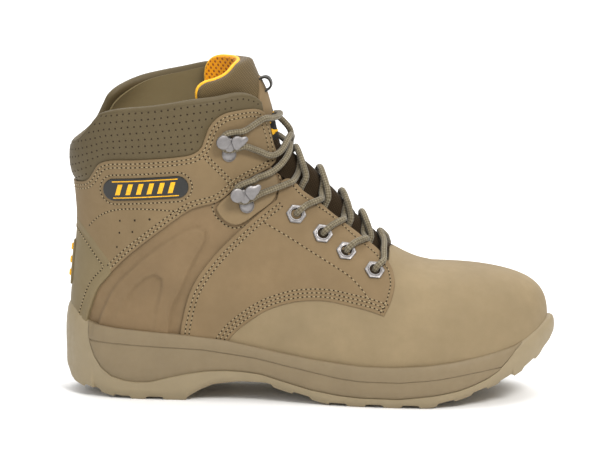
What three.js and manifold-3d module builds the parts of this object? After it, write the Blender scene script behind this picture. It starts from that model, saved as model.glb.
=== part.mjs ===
// Steel toe work boot, right foot, lace-to-toe ankle height. Millimetres, +X toe, -Y outer side, +Z up.
// The upper is one smooth form: a fan of arch sections that runs from the toe tip, over the instep, to
// the collar. Every layer of the boot (leather, toe cap, counter, lining) lies between two offsets of
// that form, and each panel is cut out of its layer by an outline drawn in side view.
import * as THREE from 'three';
import Module from 'manifold-3d';
import { mergeVertices } from 'three/addons/utils/BufferGeometryUtils.js';

const wasm = await Module();
wasm.setup();

// ---- driving dimensions -----------------------------------------------------------------------------
const SOLE_LENGTH = 310;            // heel to toe, a UK 9 / EU 43 safety boot
const TOE_START_X = 232;            // the closing toe form starts here
const TOE_TIP_X = 305.5;
const TOE_FLAT_HALF = [50, 47.5];   // outer, inner half width where the toe form starts
const GAP = 0.3;                    // between touching pieces
const LEATHER = 1.8;
const LAYER = {                     // [outside offset, inside offset] from the form's surface
  leather: [0, -LEATHER],
  cap: [-2.1, -3.9],
  lining: [-4.2, -5.6],
  collar: [1.8, -3.9],
  badge: [1.6, 0.3],
  facing: [1.7, 0.3],
  heelPatch: [1.7, 0.3],
  tongueMiddle: [-0.5, -10],
  tongueWing: [-9, -10],
  tongueLining: [-10.4, -11.4],
  gusset: [-7.9, -8.7],
  label: [0.6, -0.2],
};
const LACE_D = 4;
const LACE_SIDES = 8;
const EYELET = { across: 12.4, hole: 3.4, barrel: 4.0, plate: 0.7, lift: 0.8, depth: 2.2 };
const HOOK = { base: 1.0, neck: 2.5, clear: 4.9, top: 1.1 };
const HINGE = new THREE.Vector3(131.4, 0, 184.5);   // the tongue's top folds here

// Sections, toe end to collar: ridge x, ridge z, back x, back z, outer half, inner half, centre y.
const SECTIONS = [
  [232, 84.5, 232, -21.5, 50, 47.5, 0.8],
  [221, 87.5, 214, -23, 50, 46.5, 0.3],
  [208, 94, 190, -24, 48.5, 43, 0],
  [194, 104, 162, -24, 45.5, 38.5, 0],
  [184, 113.5, 130, -24, 41.5, 35.5, 0],
  [173, 125.3, 97, -26, 38, 34, 0],
  [159, 140, 62, -30, 36, 34, 0],
  [149, 148.5, 28, -24, 35.5, 34.5, 0],
  [141.5, 154.8, 7, 2, 36, 35.5, 0],
  [137.3, 160.5, 3, 31, 36.5, 36, 0],
  [134.7, 168, 4, 56, 37, 36.5, 0],
  [133, 176, 6, 82, 37.5, 37, 0],
  [131, 184, 8.5, 108, 38, 38, 0],
  [128.5, 192, 7.5, 130, 39, 39, 0],
  [125, 200, 5, 148, 40, 40, 0],
  [121, 210, 8, 165, 41, 41, 0],
  [117, 219, 16, 178, 41, 41, 0],
  [112, 230, 27, 192, 41, 41, 0],
];
const LAST = SECTIONS.length - 1;
const SQUARENESS = [[-1, 0.82], [0, 0.86], [2, 0.95], [5, 1], [8, 0.96], [12, 0.9], [17, 0.88]];

// The line where the upper meets the sole, in side view.
const FEATHER = [
  [-6, 51], [4.5, 50], [15.6, 46.9], [34.3, 44.6], [72.6, 41.8], [104, 38.7], [136, 32.3], [158.7, 28.5],
  [177.7, 26.4], [190.7, 25.3], [210, 25.2], [229.6, 26.4], [249, 28.6], [268, 32], [286, 36],
  [292.3, 38.8], [302.4, 44.7], [310, 49.9], [318, 55],
];

// ---- small helpers ----------------------------------------------------------------------------------
const lerpTable = (table, x) => {
  if (x <= table[0][0]) return table[0][1];
  for (let i = 1; i < table.length; i++) {
    if (x <= table[i][0]) {
      const [x0, v0] = table[i - 1];
      const [x1, v1] = table[i];
      return v0 + ((v1 - v0) * (x - x0)) / (x1 - x0);
    }
  }
  return table[table.length - 1][1];
};
const smoothTable = (table, x) => {
  const last = table.length - 1;
  let i = 0;
  while (i < last - 1 && x > table[i + 1][0]) i++;
  const t = (x - table[i][0]) / (table[i + 1][0] - table[i][0]);
  const at = (k) => table[Math.min(Math.max(k, 0), last)][1];
  return catmull(at(i - 1), at(i), at(i + 1), at(i + 2), Math.min(Math.max(t, 0), 1));
};
const catmull = (a, b, c, d, t) =>
  0.5 * (2 * b + (c - a) * t + (2 * a - 5 * b + 4 * c - d) * t * t + (3 * b - a - 3 * c + d) * t ** 3);

// ---- the upper's form -------------------------------------------------------------------------------
function section(s) {
  if (s >= 0) {
    const i = Math.min(Math.floor(s), LAST - 1);
    const [b, c] = [SECTIONS[i], SECTIONS[i + 1]];
    const a = i > 0 ? SECTIONS[i - 1] : b.map((v, k) => 2 * v - c[k]);
    const d = i < LAST - 1 ? SECTIONS[i + 2] : c.map((v, k) => 2 * v - b[k]);
    return b.map((_, k) => catmull(a[k], b[k], c[k], d[k], s - i));
  }
  const u = Math.sin(Math.min(-s, 1) * Math.PI / 2);
  const x = TOE_START_X + (TOE_TIP_X - TOE_START_X) * u;
  const mid = 31.5 + 14.5 * u ** 1.7;
  const half = 53 * Math.max(1 - u ** 1.5, 0) ** (1 / 2.8);
  const narrow = Math.sqrt(Math.max(1 - u * u, 0));
  return [x, mid + half, x, mid - half, TOE_FLAT_HALF[0] * narrow, TOE_FLAT_HALF[1] * narrow, 0.8 + 4.2 * u];
}

// A point of the form: s along the boot, turn from 0 at the ridge to PI at the back, side -1 outer, +1 inner.
function formPoint(s, turn, side) {
  const [rx, rz, bx, bz, outer, inner, centre] = section(s);
  const e = lerpTable(SQUARENESS, s);
  const c = Math.cos(turn);
  const f = (1 - Math.sign(c) * Math.abs(c) ** e) / 2;
  const w = side < 0 ? outer : inner;
  const y = centre + side * w * Math.max(Math.sin(turn), 0) ** e;
  return new THREE.Vector3(rx + (bx - rx) * f, y, rz + (bz - rz) * f);
}

function formNormal(s, turn, side) {
  const h = 0.02;
  const along = formPoint(s + h, turn, side).sub(formPoint(s - h, turn, side));
  const round = formPoint(s, turn + h, side).sub(formPoint(s, Math.max(turn - h, 0.001), side));
  const n = side < 0 ? along.cross(round) : round.cross(along);
  return n.normalize();
}

const offPoint = (s, turn, side, off) =>
  formPoint(s, turn, side).addScaledVector(formNormal(s, turn, side), off);

// The form's grid, offset along its vertex normals, as one closed solid.
const TOE_RINGS = [-1, -0.9, -0.72, -0.5, -0.25];
const RING_AT = [...TOE_RINGS, 0, 1.4, 2.8, 4.2, 5.6, 7, 8.4, 9.8, 11.2, 12.6, 14, 15.5, LAST];
const AROUND = 24;
const formGrid = (() => {
  const rings = RING_AT.map((s) => Array.from({ length: AROUND }, (_, j) => {
    const a = (2 * Math.PI * j) / AROUND;
    return a <= Math.PI ? formPoint(s, a, 1) : formPoint(s, 2 * Math.PI - a, -1);
  }));
  const faces = [];
  const id = (i, j) => (i === 0 ? 0 : 1 + (i - 1) * AROUND + (j % AROUND));
  for (let i = 0; i < rings.length - 1; i++) {
    for (let j = 0; j < AROUND; j++) {
      faces.push([id(i, j), id(i + 1, j + 1), id(i + 1, j)]);
      if (i > 0) faces.push([id(i, j), id(i, j + 1), id(i + 1, j + 1)]);
    }
  }
  const points = [rings[0][0], ...rings.slice(1).flat()];
  const normals = points.map(() => new THREE.Vector3());
  for (const [a, b, c] of faces) {
    const n = points[b].clone().sub(points[a]).cross(points[c].clone().sub(points[a]));
    for (const k of [a, b, c]) normals[k].add(n);
  }
  normals.forEach((n) => n.normalize());
  const top = points.length - AROUND;
  const lid = points.slice(top).reduce((sum, p) => sum.add(p), new THREE.Vector3()).divideScalar(AROUND);
  points.push(lid);
  normals.push(new THREE.Vector3(0, 0, 0));
  for (let j = 0; j < AROUND; j++) faces.push([top + j, top + ((j + 1) % AROUND), points.length - 1]);
  return { points, normals, faces };
})();

function solidOf(points, faces) {
  const data = new Float32Array(points.flatMap((p) => [p.x, p.y, p.z]));
  return new wasm.Manifold(new wasm.Mesh({
    numProp: 3, vertProperties: data, triVerts: new Uint32Array(faces.flat()),
  }));
}
const formSolids = new Map();
function formSolid(off) {
  if (!formSolids.has(off)) {
    const points = formGrid.points.map((p, i) => p.clone().addScaledVector(formGrid.normals[i], off));
    formSolids.set(off, solidOf(points, formGrid.faces));
  }
  return formSolids.get(off);
}

function solidOfGeometry(geometry) {
  const bare = geometry.clone();
  bare.deleteAttribute('normal');
  bare.deleteAttribute('uv');
  const merged = mergeVertices(bare, 1e-4);
  return new wasm.Manifold(new wasm.Mesh({
    numProp: 3,
    vertProperties: new Float32Array(merged.attributes.position.array),
    triVerts: new Uint32Array(merged.index.array),
  }));
}
function geometryOf(solid) {
  const mesh = solid.getMesh();
  const geometry = new THREE.BufferGeometry();
  geometry.setAttribute('position', new THREE.BufferAttribute(new Float32Array(mesh.vertProperties), 3));
  geometry.setIndex(new THREE.BufferAttribute(new Uint32Array(mesh.triVerts), 1));
  return geometry;
}

// A side-view outline [x, z] pushed along Y from y0 to y1.
function prism(outline, y0 = -80, y1 = 80) {
  const shape = new THREE.Shape(outline.map(([x, z]) => new THREE.Vector2(x, z)));
  const geometry = new THREE.ExtrudeGeometry(shape, { depth: y1 - y0, bevelEnabled: false });
  geometry.rotateX(Math.PI / 2);
  geometry.translate(0, y1, 0);
  return solidOfGeometry(geometry);
}
function box(x0, x1, y0, y1, z0, z1) {
  const geometry = new THREE.BoxGeometry(x1 - x0, y1 - y0, z1 - z0);
  geometry.translate((x0 + x1) / 2, (y0 + y1) / 2, (z0 + z1) / 2);
  return solidOfGeometry(geometry);
}
// A narrow ribbon along a side-view line: the slit between two neighbouring panels.
function slit(line, width = 0.4) {
  const left = [];
  const right = [];
  line.forEach(([x, z], i) => {
    const [ax, az] = line[Math.max(i - 1, 0)];
    const [bx, bz] = line[Math.min(i + 1, line.length - 1)];
    const l = Math.hypot(bx - ax, bz - az);
    const [nx, nz] = [(-(bz - az) / l) * (width / 2), ((bx - ax) / l) * (width / 2)];
    left.push([x + nx, z + nz]);
    right.unshift([x - nx, z - nz]);
  });
  return prism([...left, ...right]);
}
const HALF = { lateral: [-80, -0.15], medial: [0.15, 80] };
const SIDE = { lateral: -1, medial: 1 };
const layer = ([outside, inside]) => formSolid(outside).subtract(formSolid(inside));

// ---- side-view lines and outlines -------------------------------------------------------------------
const bandAlongFeather = (low, high, x0 = -20, x1 = 330) => {
  const inside = FEATHER.filter(([x]) => x > x0 && x < x1).map(([x, z]) => [x, z]);
  const line = [[x0, lerpTable(FEATHER, x0)], ...inside, [x1, lerpTable(FEATHER, x1)]];
  return [...line.map(([x, z]) => [x, z + low]), ...line.reverse().map(([x, z]) => [x, z + high])];
};
const aboveFeather = (low) => prism(bandAlongFeather(low, 300));

const COLLAR_SEAM = [
  [-12, 136], [7, 135.5], [13.8, 136.5], [17.8, 138.4], [21.5, 143.6], [25, 148.8], [31.2, 151.6], [50.3, 153],
  [75.8, 155.2], [84.8, 157], [89.6, 160.4], [92, 166], [94.6, 173], [98.5, 178.2], [104, 181.8],
  [113.2, 183.5], [122, 183.6], [126.5, 181.6], [129, 178],
];
const TOP_LINE = {
  lateral: [[0, 158], [6, 160.5], [12, 164.5], [18, 171], [23, 177.5], [27, 181.3], [33, 183.8],
    [39.6, 185.4], [62.7, 187.9], [83.7, 191.3],
    [99.4, 194.2], [112, 196.8], [120, 197.2], [125.5, 194.8], [128.5, 190.5], [129.5, 184]],
  medial: [[0, 158], [6, 160.5], [12, 164.5], [17, 170], [21.6, 178.5], [25, 184.6], [30, 189.6],
    [36.2, 193.2], [45.3, 196.6], [57.6, 199.2], [72, 202], [87, 205.4], [100, 207], [112, 206], [120, 203],
    [125.5, 198], [128.5, 191.5], [129.5, 184]],
};
const DIAGONAL = [
  [150, 146.5], [131.5, 146], [113.7, 137.2], [100.8, 127], [84.1, 122], [73.1, 114.9], [62.7, 107],
  [51.3, 98], [44.5, 92.3], [38.1, 86.1], [32.6, 80.4],
];
const BACKSTAY_EDGE = [
  [-12, 112.5], [9, 111.6], [18, 105.2], [27, 94.5], [33.6, 86.6], [32.6, 80.4], [24.2, 70], [19.3, 58],
  [16.4, 48], [15.4, 38],
];
const QUARTER_REAR = [
  [139.2, 147], [138.4, 137.5], [136.1, 126.8], [125.5, 118.7], [117, 111.3], [109, 104], [100.8, 95.8],
  [93.7, 87.4], [87.7, 79.1], [83.1, 70.5], [80.2, 62], [78.1, 53], [76.7, 46], [75.2, 30],
];
const LACING_EDGE = {
  quarter: [[138.4, 137.5], [141.6, 138.9], [144.9, 138.4], [148, 135.9], [151.5, 132], [158, 127.2],
    [172.1, 117.2], [188.4, 103.3], [199.1, 95], [205, 89.1]],
};
const QUARTER_FRONT = [
  [205, 89.1], [208.5, 84.8], [210, 80.6], [210.8, 75.6], [208.8, 66.1], [204.6, 57.4], [195.3, 60.4],
  [180.8, 63.5], [171, 65.2], [161.8, 65.6], [150.1, 64.6], [140.9, 62.3], [129.8, 57.9], [118.6, 50.4],
  [110.6, 43.6], [103.5, 34], [99, 26],
];
const ANKLE_FRONT = [[129, 178], [131.6, 171.2], [133.8, 162], [135, 154.9], [135, 150], [131.5, 146]];

const OUTLINE = {
  ankle: [...COLLAR_SEAM, ...ANKLE_FRONT.slice(1), ...DIAGONAL.slice(2), ...BACKSTAY_EDGE.slice(0, 5).reverse()],
  side: [...DIAGONAL.slice(1), ...BACKSTAY_EDGE.slice(6), [15.4, 20], [75.2, 20],
    ...QUARTER_REAR.slice(2).reverse(), [138.4, 137.5]],
  quarter: [...QUARTER_REAR.slice(2).reverse(), ...LACING_EDGE.quarter, ...QUARTER_FRONT.slice(1),
    [99, 10], [75.2, 10]],
  backstay: [...BACKSTAY_EDGE, [15.4, 20], [-12, 20]],
  vamp: [...QUARTER_FRONT, [99, 10], [330, 10], [330, 120], [206.5, 120]],
  facing: [[131, 144.6], [113.7, 135.6], [101.4, 126], [98.9, 122.6], [100.9, 118], [106.2, 113.2],
    [110.5, 111.6], [115.4, 112.7], [123.5, 118.2], [134.2, 126.8], [136.6, 137], [134.6, 142]],
};
const collarOutline = (side) => [
  ...COLLAR_SEAM, [129.5, 181], ...TOP_LINE[side].slice().reverse(), [-12, 156]];

// ---- materials --------------------------------------------------------------------------------------
const finish = (color, roughness, metalness = 0) =>
  new THREE.MeshStandardMaterial({ color, roughness, metalness });
const MATERIAL = {
  leather: finish(0x9c8661, 0.85),
  collarLeather: finish(0x75694a, 0.7),
  liningCloth: finish(0x938660, 0.9),
  sole: finish(0x9d8e6c, 0.6),
  midsole: finish(0x958767, 0.65),
  brownCloth: finish(0x3a2f20, 0.95),
  yellowMesh: finish(0xf0a52c, 0.9),
  metal: finish(0x9a989c, 0.35, 0.9),
  steel: finish(0xb0b2b5, 0.4, 1),
  lace: finish(0x9b8e6d, 0.9),
  board: finish(0xc9b98e, 0.95),
  footbed: finish(0x2c2c2e, 0.9),
  badge: finish(0x1b1b1a, 0.45),
  webbing: finish(0x43423f, 0.9),
  aglet: finish(0x3d382c, 0.4),
};

const boot = new THREE.Group();
function add(name, geometry, material) {
  const mesh = new THREE.Mesh(geometry, material);
  mesh.name = name;
  boot.add(mesh);
  return mesh;
}
const addSolid = (name, solid, material) => add(name, geometryOf(solid), material);

// ---- leather upper ----------------------------------------------------------------------------------
const trim = aboveFeather(-3);
const seams = [
  slit(COLLAR_SEAM), slit(DIAGONAL.slice(1)), slit(BACKSTAY_EDGE), slit(QUARTER_REAR),
  slit(QUARTER_FRONT),
].reduce((all, one) => all.add(one));

const eyeletSpots = [[2.5, 0.73], [3.8, 0.72], [4.9, 0.72], [5.9, 0.73]];
const hookSpots = [[8.5, 0.9], [11.7, 0.98]];

// Axes of a fitting on the surface: z outward, y up along the leather, x the third.
function spotMatrix([s, turn], side, off = 0, twist = 0) {
  const z = formNormal(s, turn, side);
  const up = formPoint(s + 0.05, turn, side).sub(formPoint(s - 0.05, turn, side));
  const y = up.addScaledVector(z, -up.dot(z)).normalize();
  const x = new THREE.Vector3().crossVectors(y, z);
  return new THREE.Matrix4().makeBasis(x, y, z)
    .setPosition(offPoint(s, turn, side, off))
    .multiply(new THREE.Matrix4().makeRotationZ(twist));
}
function drill(matrix, radius, from, to, sides = 12) {
  const geometry = new THREE.CylinderGeometry(radius, radius, to - from, sides);
  geometry.rotateX(Math.PI / 2);
  geometry.translate(0, 0, (from + to) / 2);
  geometry.applyMatrix4(matrix);
  return solidOfGeometry(geometry);
}
const RIVET_DROP = 8.8;             // rivet eye below the hook's neck
const RIVET_AT = new THREE.Matrix4().makeTranslation(0, -RIVET_DROP, 0);
const HOOK_LIFT = [2.8, 0.7];        // lower hooks stand on the facing, upper ones on the leather
const hookMatrix = (k, side) => spotMatrix(hookSpots[k], side, HOOK_LIFT[k]);

const leather = layer(LAYER.leather).intersect(trim).subtract(seams);
const LACING_HALF = 16.2;           // half the gap between the quarters' lacing edges
const ANKLE_HALF = 12;              // and between the ankle panels' front edges
const upperPanels = { lateral: {}, medial: {} };
for (const side of ['lateral', 'medial']) {
  const half = (outline) => leather.intersect(prism(outline, ...HALF[side]));
  const eyeletHoles = eyeletSpots
    .map((spot) => drill(spotMatrix(spot, SIDE[side]), EYELET.barrel + GAP, -6, 4))
    .reduce((all, one) => all.add(one));
  upperPanels[side].quarter = half(OUTLINE.quarter).subtract(eyeletHoles)
    .subtract(box(138, 200, -LACING_HALF, LACING_HALF, 80, 145));
  upperPanels[side].side = half(OUTLINE.side);
  upperPanels[side].ankle = half(OUTLINE.ankle).subtract(box(110, 150, -ANKLE_HALF, ANKLE_HALF, 130, 200));
}
const rivetHole = (side, k) => drill(
  hookMatrix(k, SIDE[side]).multiply(RIVET_AT), 2.2 + GAP, -9, 3);
for (const side of ['lateral', 'medial']) {
  const facing = layer(LAYER.facing).intersect(prism(OUTLINE.facing, ...HALF[side]));
  addSolid(`quarter_${side}`, upperPanels[side].quarter, MATERIAL.leather);
  addSolid(`side_panel_${side}`, upperPanels[side].side.subtract(rivetHole(side, 0)), MATERIAL.leather);
  addSolid(`ankle_panel_${side}`, upperPanels[side].ankle.subtract(rivetHole(side, 1)), MATERIAL.leather);
  addSolid(`hook_facing_${side}`, facing.subtract(rivetHole(side, 0)), MATERIAL.leather);
}
addSolid('vamp', leather.intersect(prism(OUTLINE.vamp)), MATERIAL.leather);
addSolid('backstay', leather.intersect(prism(OUTLINE.backstay)), MATERIAL.leather);

const collarLayer = layer(LAYER.collar).subtract(slit(COLLAR_SEAM));
const collarHalf = (side, y0, y1) => collarLayer.intersect(prism(collarOutline(side), y0, y1));
const FRONT_OPENING = 16.5;         // half the gap between the two collar fronts
addSolid('collar', collarHalf('lateral', -80, 0).add(collarHalf('medial', -0.001, 80))
  .subtract(box(108, 150, -FRONT_OPENING, FRONT_OPENING, 120, 240)), MATERIAL.collarLeather);

// ---- heel patch and badge ---------------------------------------------------------------------------
addSolid('heel_patch', layer(LAYER.heelPatch).intersect(box(-20, 22, -9, 9, 67, 97)), MATERIAL.yellowMesh);
const BADGE = { x: 55.4, z: 135, length: 53.5, height: 14, tilt: THREE.MathUtils.degToRad(4) };
function pillOutline({ x, z, length, height, tilt }) {
  const points = [];
  const r = height / 2;
  for (let i = 0; i < 20; i++) {
    const a = (2 * Math.PI * (i + 0.5)) / 20;
    const [px, pz] = [Math.cos(a) * r + Math.sign(Math.cos(a)) * (length / 2 - r), Math.sin(a) * r];
    points.push([x + px * Math.cos(tilt) - pz * Math.sin(tilt),
      z + px * Math.sin(tilt) + pz * Math.cos(tilt)]);
  }
  return points;
}
addSolid('badge_lateral', layer(LAYER.badge).intersect(prism(pillOutline(BADGE), -80, -1)), MATERIAL.badge);

// ---- inside the upper: toe cap, counter, lining -----------------------------------------------------
const CAP_REAR_X = 246;
const cap = layer(LAYER.cap).intersect(trim).intersect(box(CAP_REAR_X + 3, 320, -80, 80, 0, 120));
addSolid('steel_toe_cap', cap, MATERIAL.steel);
addSolid('toe_cap_edge_strip', layer(LAYER.cap).intersect(trim)
  .intersect(box(CAP_REAR_X - 5, CAP_REAR_X + 3 - GAP, -80, 80, 0, 120)), MATERIAL.footbed);
const COUNTER_OUTLINE = [[-12, 20], [62, 20], [62, 62], [44, 84], [22, 98], [-12, 102]];
addSolid('heel_counter', layer(LAYER.cap).intersect(trim).intersect(prism(COUNTER_OUTLINE)), MATERIAL.board);

const liningTop = (side, y0, y1) => {
  const line = TOP_LINE[side].map(([x, z]) => [x, z - 1.2]);
  return prism([[-12, 20], [-12, 154.8], ...line, [131, 178], [160, 140], [330, 120], [330, 20]], y0, y1);
};
const lacingRoom = box(124, 220, -23, 23, 84, 240).add(box(100, 124.5, -16.5, 16.5, 130, 240))
  .add(box(192, 213, -33, 33, 70, 120)).add(box(150, 192.5, -31.5, 31.5, 84, 160));
const lining = layer(LAYER.lining).intersect(trim)
  .intersect(liningTop('lateral', -80, 0).add(liningTop('medial', -0.001, 80)))
  .subtract(lacingRoom);
addSolid('lining', lining, MATERIAL.liningCloth);

// ---- insole, footbed, plate -------------------------------------------------------------------------
const inside = formSolid(-5.9);
addSolid('insole_board', inside.intersect(prism(bandAlongFeather(-2.9, -0.8, -6, 312))), MATERIAL.board);
addSolid('footbed', formSolid(-6.3).intersect(prism(bandAlongFeather(-0.5, 3.6, -6, 312))), MATERIAL.footbed);
addSolid('puncture_plate', formSolid(-0.6)
  .intersect(prism(bandAlongFeather(-4.2, -3.3, -6, 312))), MATERIAL.steel);

// ---- tongue -----------------------------------------------------------------------------------------
const TONGUE_HALF = 5;              // half width of the thick middle
const wedge = (drop) => [[HINGE.x + 30, HINGE.z + 2], [HINGE.x, HINGE.z], [40, HINGE.z - drop]];
const WEDGE_UP = 16;                // the top's lower cut and the bottom's upper cut, open to the back
const WEDGE_DOWN = 34;
const above = (drop, lift) => prism([...wedge(drop).map(([x, z]) => [x, z + lift]), [40, 260], [170, 260]]);
const below = (drop, lift) => prism([...wedge(drop).map(([x, z]) => [x, z + lift]), [40, 20], [170, 20]]);
const TONGUE_TOP_LINE = [[60, 150], [84, 188], [86.5, 203], [92, 211.5], [101, 215], [110, 216], [130, 217],
  [160, 150]];
const TONGUE_LOW_LINE = [[216, 60], [202, 82], [160, 112], [128, 140], [112, 160], [100, 180], [60, 240],
  [170, 240], [216, 100]];
const tongueArea = prism(TONGUE_LOW_LINE).intersect(box(60, 206.5, -80, 80, 60, 240));
const middle = (l) => layer(l).intersect(box(60, 230, -TONGUE_HALF, TONGUE_HALF, 60, 240));
const wings = (l, half) => layer(l).intersect(box(60, 230, -half, half, 60, 240));
const WING_LOW = 21;
const WING_TOP = 15;
const WING_OUT = 27;                // the fixed cloth wings beside the folding top reach out to here
const tongueLow = middle(LAYER.tongueMiddle).add(wings(LAYER.tongueWing, WING_LOW)).intersect(tongueArea);
const tongueHigh = middle(LAYER.tongueMiddle).add(wings(LAYER.tongueWing, WING_TOP))
  .intersect(prism(TONGUE_TOP_LINE));
addSolid('tongue_lower', tongueLow.intersect(below(WEDGE_DOWN, -GAP)), MATERIAL.brownCloth);
addSolid('tongue_top', tongueHigh.intersect(above(WEDGE_UP, GAP)), MATERIAL.liningCloth);
addSolid('tongue_lining_lower', wings(LAYER.tongueLining, WING_LOW).intersect(tongueArea)
  .intersect(below(WEDGE_DOWN, -GAP)), MATERIAL.yellowMesh);
addSolid('tongue_lining_top', wings(LAYER.tongueLining, WING_TOP).intersect(prism(TONGUE_TOP_LINE))
  .intersect(above(WEDGE_UP, GAP)), MATERIAL.yellowMesh);
for (const side of ['lateral', 'medial']) {
  const y = SIDE[side] < 0 ? [-22, -TONGUE_HALF - GAP] : [TONGUE_HALF + GAP, 22];
  addSolid(`gusset_${side}`, layer(LAYER.gusset).intersect(tongueArea)
    .intersect(box(60, 204, ...y, 60, 156)), MATERIAL.brownCloth);
}
const wingLine = prism([[84, 165], [118, 165], [126, 184], [121, 196], [100, 205], [88, 200]]);
for (const side of ['lateral', 'medial']) {
  const y = SIDE[side] < 0 ? [-WING_OUT, -WING_TOP - 2 * GAP] : [WING_TOP + 2 * GAP, WING_OUT];
  addSolid(`tongue_wing_${side}`, layer(LAYER.tongueWing).intersect(wingLine)
    .intersect(box(60, 130, ...y, 150, 210)).intersect(prism([[60, 172], [131, 186.5], [131, 240], [60, 240]])),
  MATERIAL.liningCloth);
}
addSolid('tongue_label', layer(LAYER.label).intersect(box(125, 160, -9, 9, 150, 172)), MATERIAL.webbing);

// A pull loop of webbing on the tongue's front, high up.
function pullLoop() {
  const matrix = spotMatrix([13.6, 0.02], -1, 0.9);
  const arc = new THREE.CatmullRomCurve3([[0, -7, 0.6], [0, -5.4, 3.6], [0, 0, 5.4], [0, 5.4, 3.6], [0, 7, 0.6]]
    .map((p) => new THREE.Vector3(...p)));
  const strip = new THREE.Shape([[-4, -0.6], [4, -0.6], [4, 0.6], [-4, 0.6]]
    .map((p) => new THREE.Vector2(...p)));
  const geometry = new THREE.ExtrudeGeometry(strip, { steps: 10, extrudePath: arc, bevelEnabled: false });
  geometry.applyMatrix4(matrix);
  return geometry;
}
add('tongue_loop', pullLoop(), MATERIAL.webbing);

// ---- sole -------------------------------------------------------------------------------------------
const SOLE_HALF = {                 // [x, half width] from the centre line
  lateral: [[0, 0], [5, 15], [12, 24], [25, 32.5], [40, 36.2], [60, 38], [100, 39], [127, 41], [151, 44.5],
    [175, 48.5], [200, 52], [220, 53.7], [240, 53.5], [265, 47.5], [285, 38], [298, 26], [306, 13], [310, 0]],
  medial: [[0, 0], [5, 15], [12, 24], [25, 32.2], [40, 35.6], [60, 37.2], [100, 37.4], [127, 37.4],
    [151, 38.8], [175, 42.2], [200, 47.4], [220, 50.8], [240, 51], [265, 46], [285, 36.5], [298, 25],
    [306, 12.5], [310, 0]],
};
const SOLE_CENTRE = [[0, 0], [190, 0], [232, 0.8], [268, 3.4], [296, 4.8], [310, 5.2]];
const SOLE_BOTTOM = [
  [0, 15], [2, 11.5], [6, 8], [14, 5.6], [26, 2.6], [38, 0], [80, 0], [88, 5], [97, 9], [113, 11.2], [130, 11],
  [140, 8], [150, 5.2], [162, 2], [172, 0], [233, 0], [249, 3.5], [263, 8], [278, 13.5], [292, 20.5],
  [301, 27], [307, 33], [310, 38],
];
const FLAT_TREAD = [38, 80, 172, 233];   // the heel block and the ball rest on the ground between these
const SOLE_TOP = [
  [0, 57], [3, 57.6], [6, 56], [10, 51.5], [14.5, 48.2], [20, 47], [34, 45.3], [73, 42.5], [104, 39.4],
  [136, 33], [159, 29.2], [178, 27.1], [191, 26], [210, 25.9], [230, 27.1], [249, 29.3], [268, 32.7],
  [286, 36.8], [292, 39.5], [302, 45.4], [307, 49], [310, 50.8],
];
const WALL = [[0, -3.4], [0.12, -1.6], [0.35, -0.2], [0.6, 0], [0.85, -0.5], [1, -1.6]];  // height share, inset
const endAngle = (x) => Math.acos(1 - (2 * x) / SOLE_LENGTH);
function soleSolid() {
  const stations = 24;
  const even = Array.from({ length: stations + 1 }, (_, i) =>
    (SOLE_LENGTH * (1 - Math.cos((Math.PI * i) / stations))) / 2);
  const xs = [...even, ...FLAT_TREAD].sort((a, b) => a - b);
  const halfAt = (side, x) => smoothTable(SOLE_HALF[side].map(([a, h]) => [endAngle(a), h]), endAngle(x));
  const outline = [
    ...xs.map((x) => [x, smoothTable(SOLE_CENTRE, x) - halfAt('lateral', x)]),
    ...xs.slice(1, -1).reverse().map((x) => [x, smoothTable(SOLE_CENTRE, x) + halfAt('medial', x)]),
  ];
  const n = outline.length;
  const points = [];
  for (const [share, inset] of WALL) {
    outline.forEach(([x, y], k) => {
      const [ax, ay] = outline[(k + n - 1) % n];
      const [bx, by] = outline[(k + 1) % n];
      const l = Math.hypot(bx - ax, by - ay);
      const deep = inset * (x < 20 ? 1.6 : 1);
      const [px, py] = [x + ((by - ay) / l) * deep, y - ((bx - ax) / l) * deep];
      const low = lerpTable(SOLE_BOTTOM, x);
      points.push(new THREE.Vector3(px, py, low + (lerpTable(SOLE_TOP, x) - low) * share));
    });
  }
  const faces = [];
  for (let r = 0; r < WALL.length - 1; r++) {
    for (let k = 0; k < n; k++) {
      const [a, b] = [r * n + k, r * n + ((k + 1) % n)];
      faces.push([a, b, b + n], [a, b + n, a + n]);
    }
  }
  const topRow = (WALL.length - 1) * n;
  for (let k = 0; k < xs.length - 1; k++) {   // lids: strips between equal stations of the two sides
    const [a, b] = [k, k + 1];
    const [c, d] = [(n - k) % n, (n - k - 1) % n];
    if (a !== c) faces.push([a, c, b], [topRow + a, topRow + b, topRow + c]);
    if (b !== d) faces.push([b, c, d], [topRow + b, topRow + d, topRow + c]);
  }
  return solidOf(points, faces);
}
const SPLIT = [                     // the line between outsole and midsole
  [15.4, 62], [15.4, 50.4], [18, 35.7], [21, 27], [25.6, 19.7], [32, 14.6], [40.1, 12.2], [48, 11.4],
  [57.2, 11.8], [68, 14.6], [82.5, 17.9], [93, 19.5], [104.7, 20.1], [116, 19.7], [126.9, 18.4],
  [142, 14.2], [158.5, 9.8], [177.5, 6.9], [190.6, 6], [214.9, 6], [239, 8.9], [252, 11.2], [261.1, 14.3],
  [269, 17.8], [275.7, 22.2], [282, 29], [286.5, 34.5], [291, 38.4], [296, 52],
];
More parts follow.
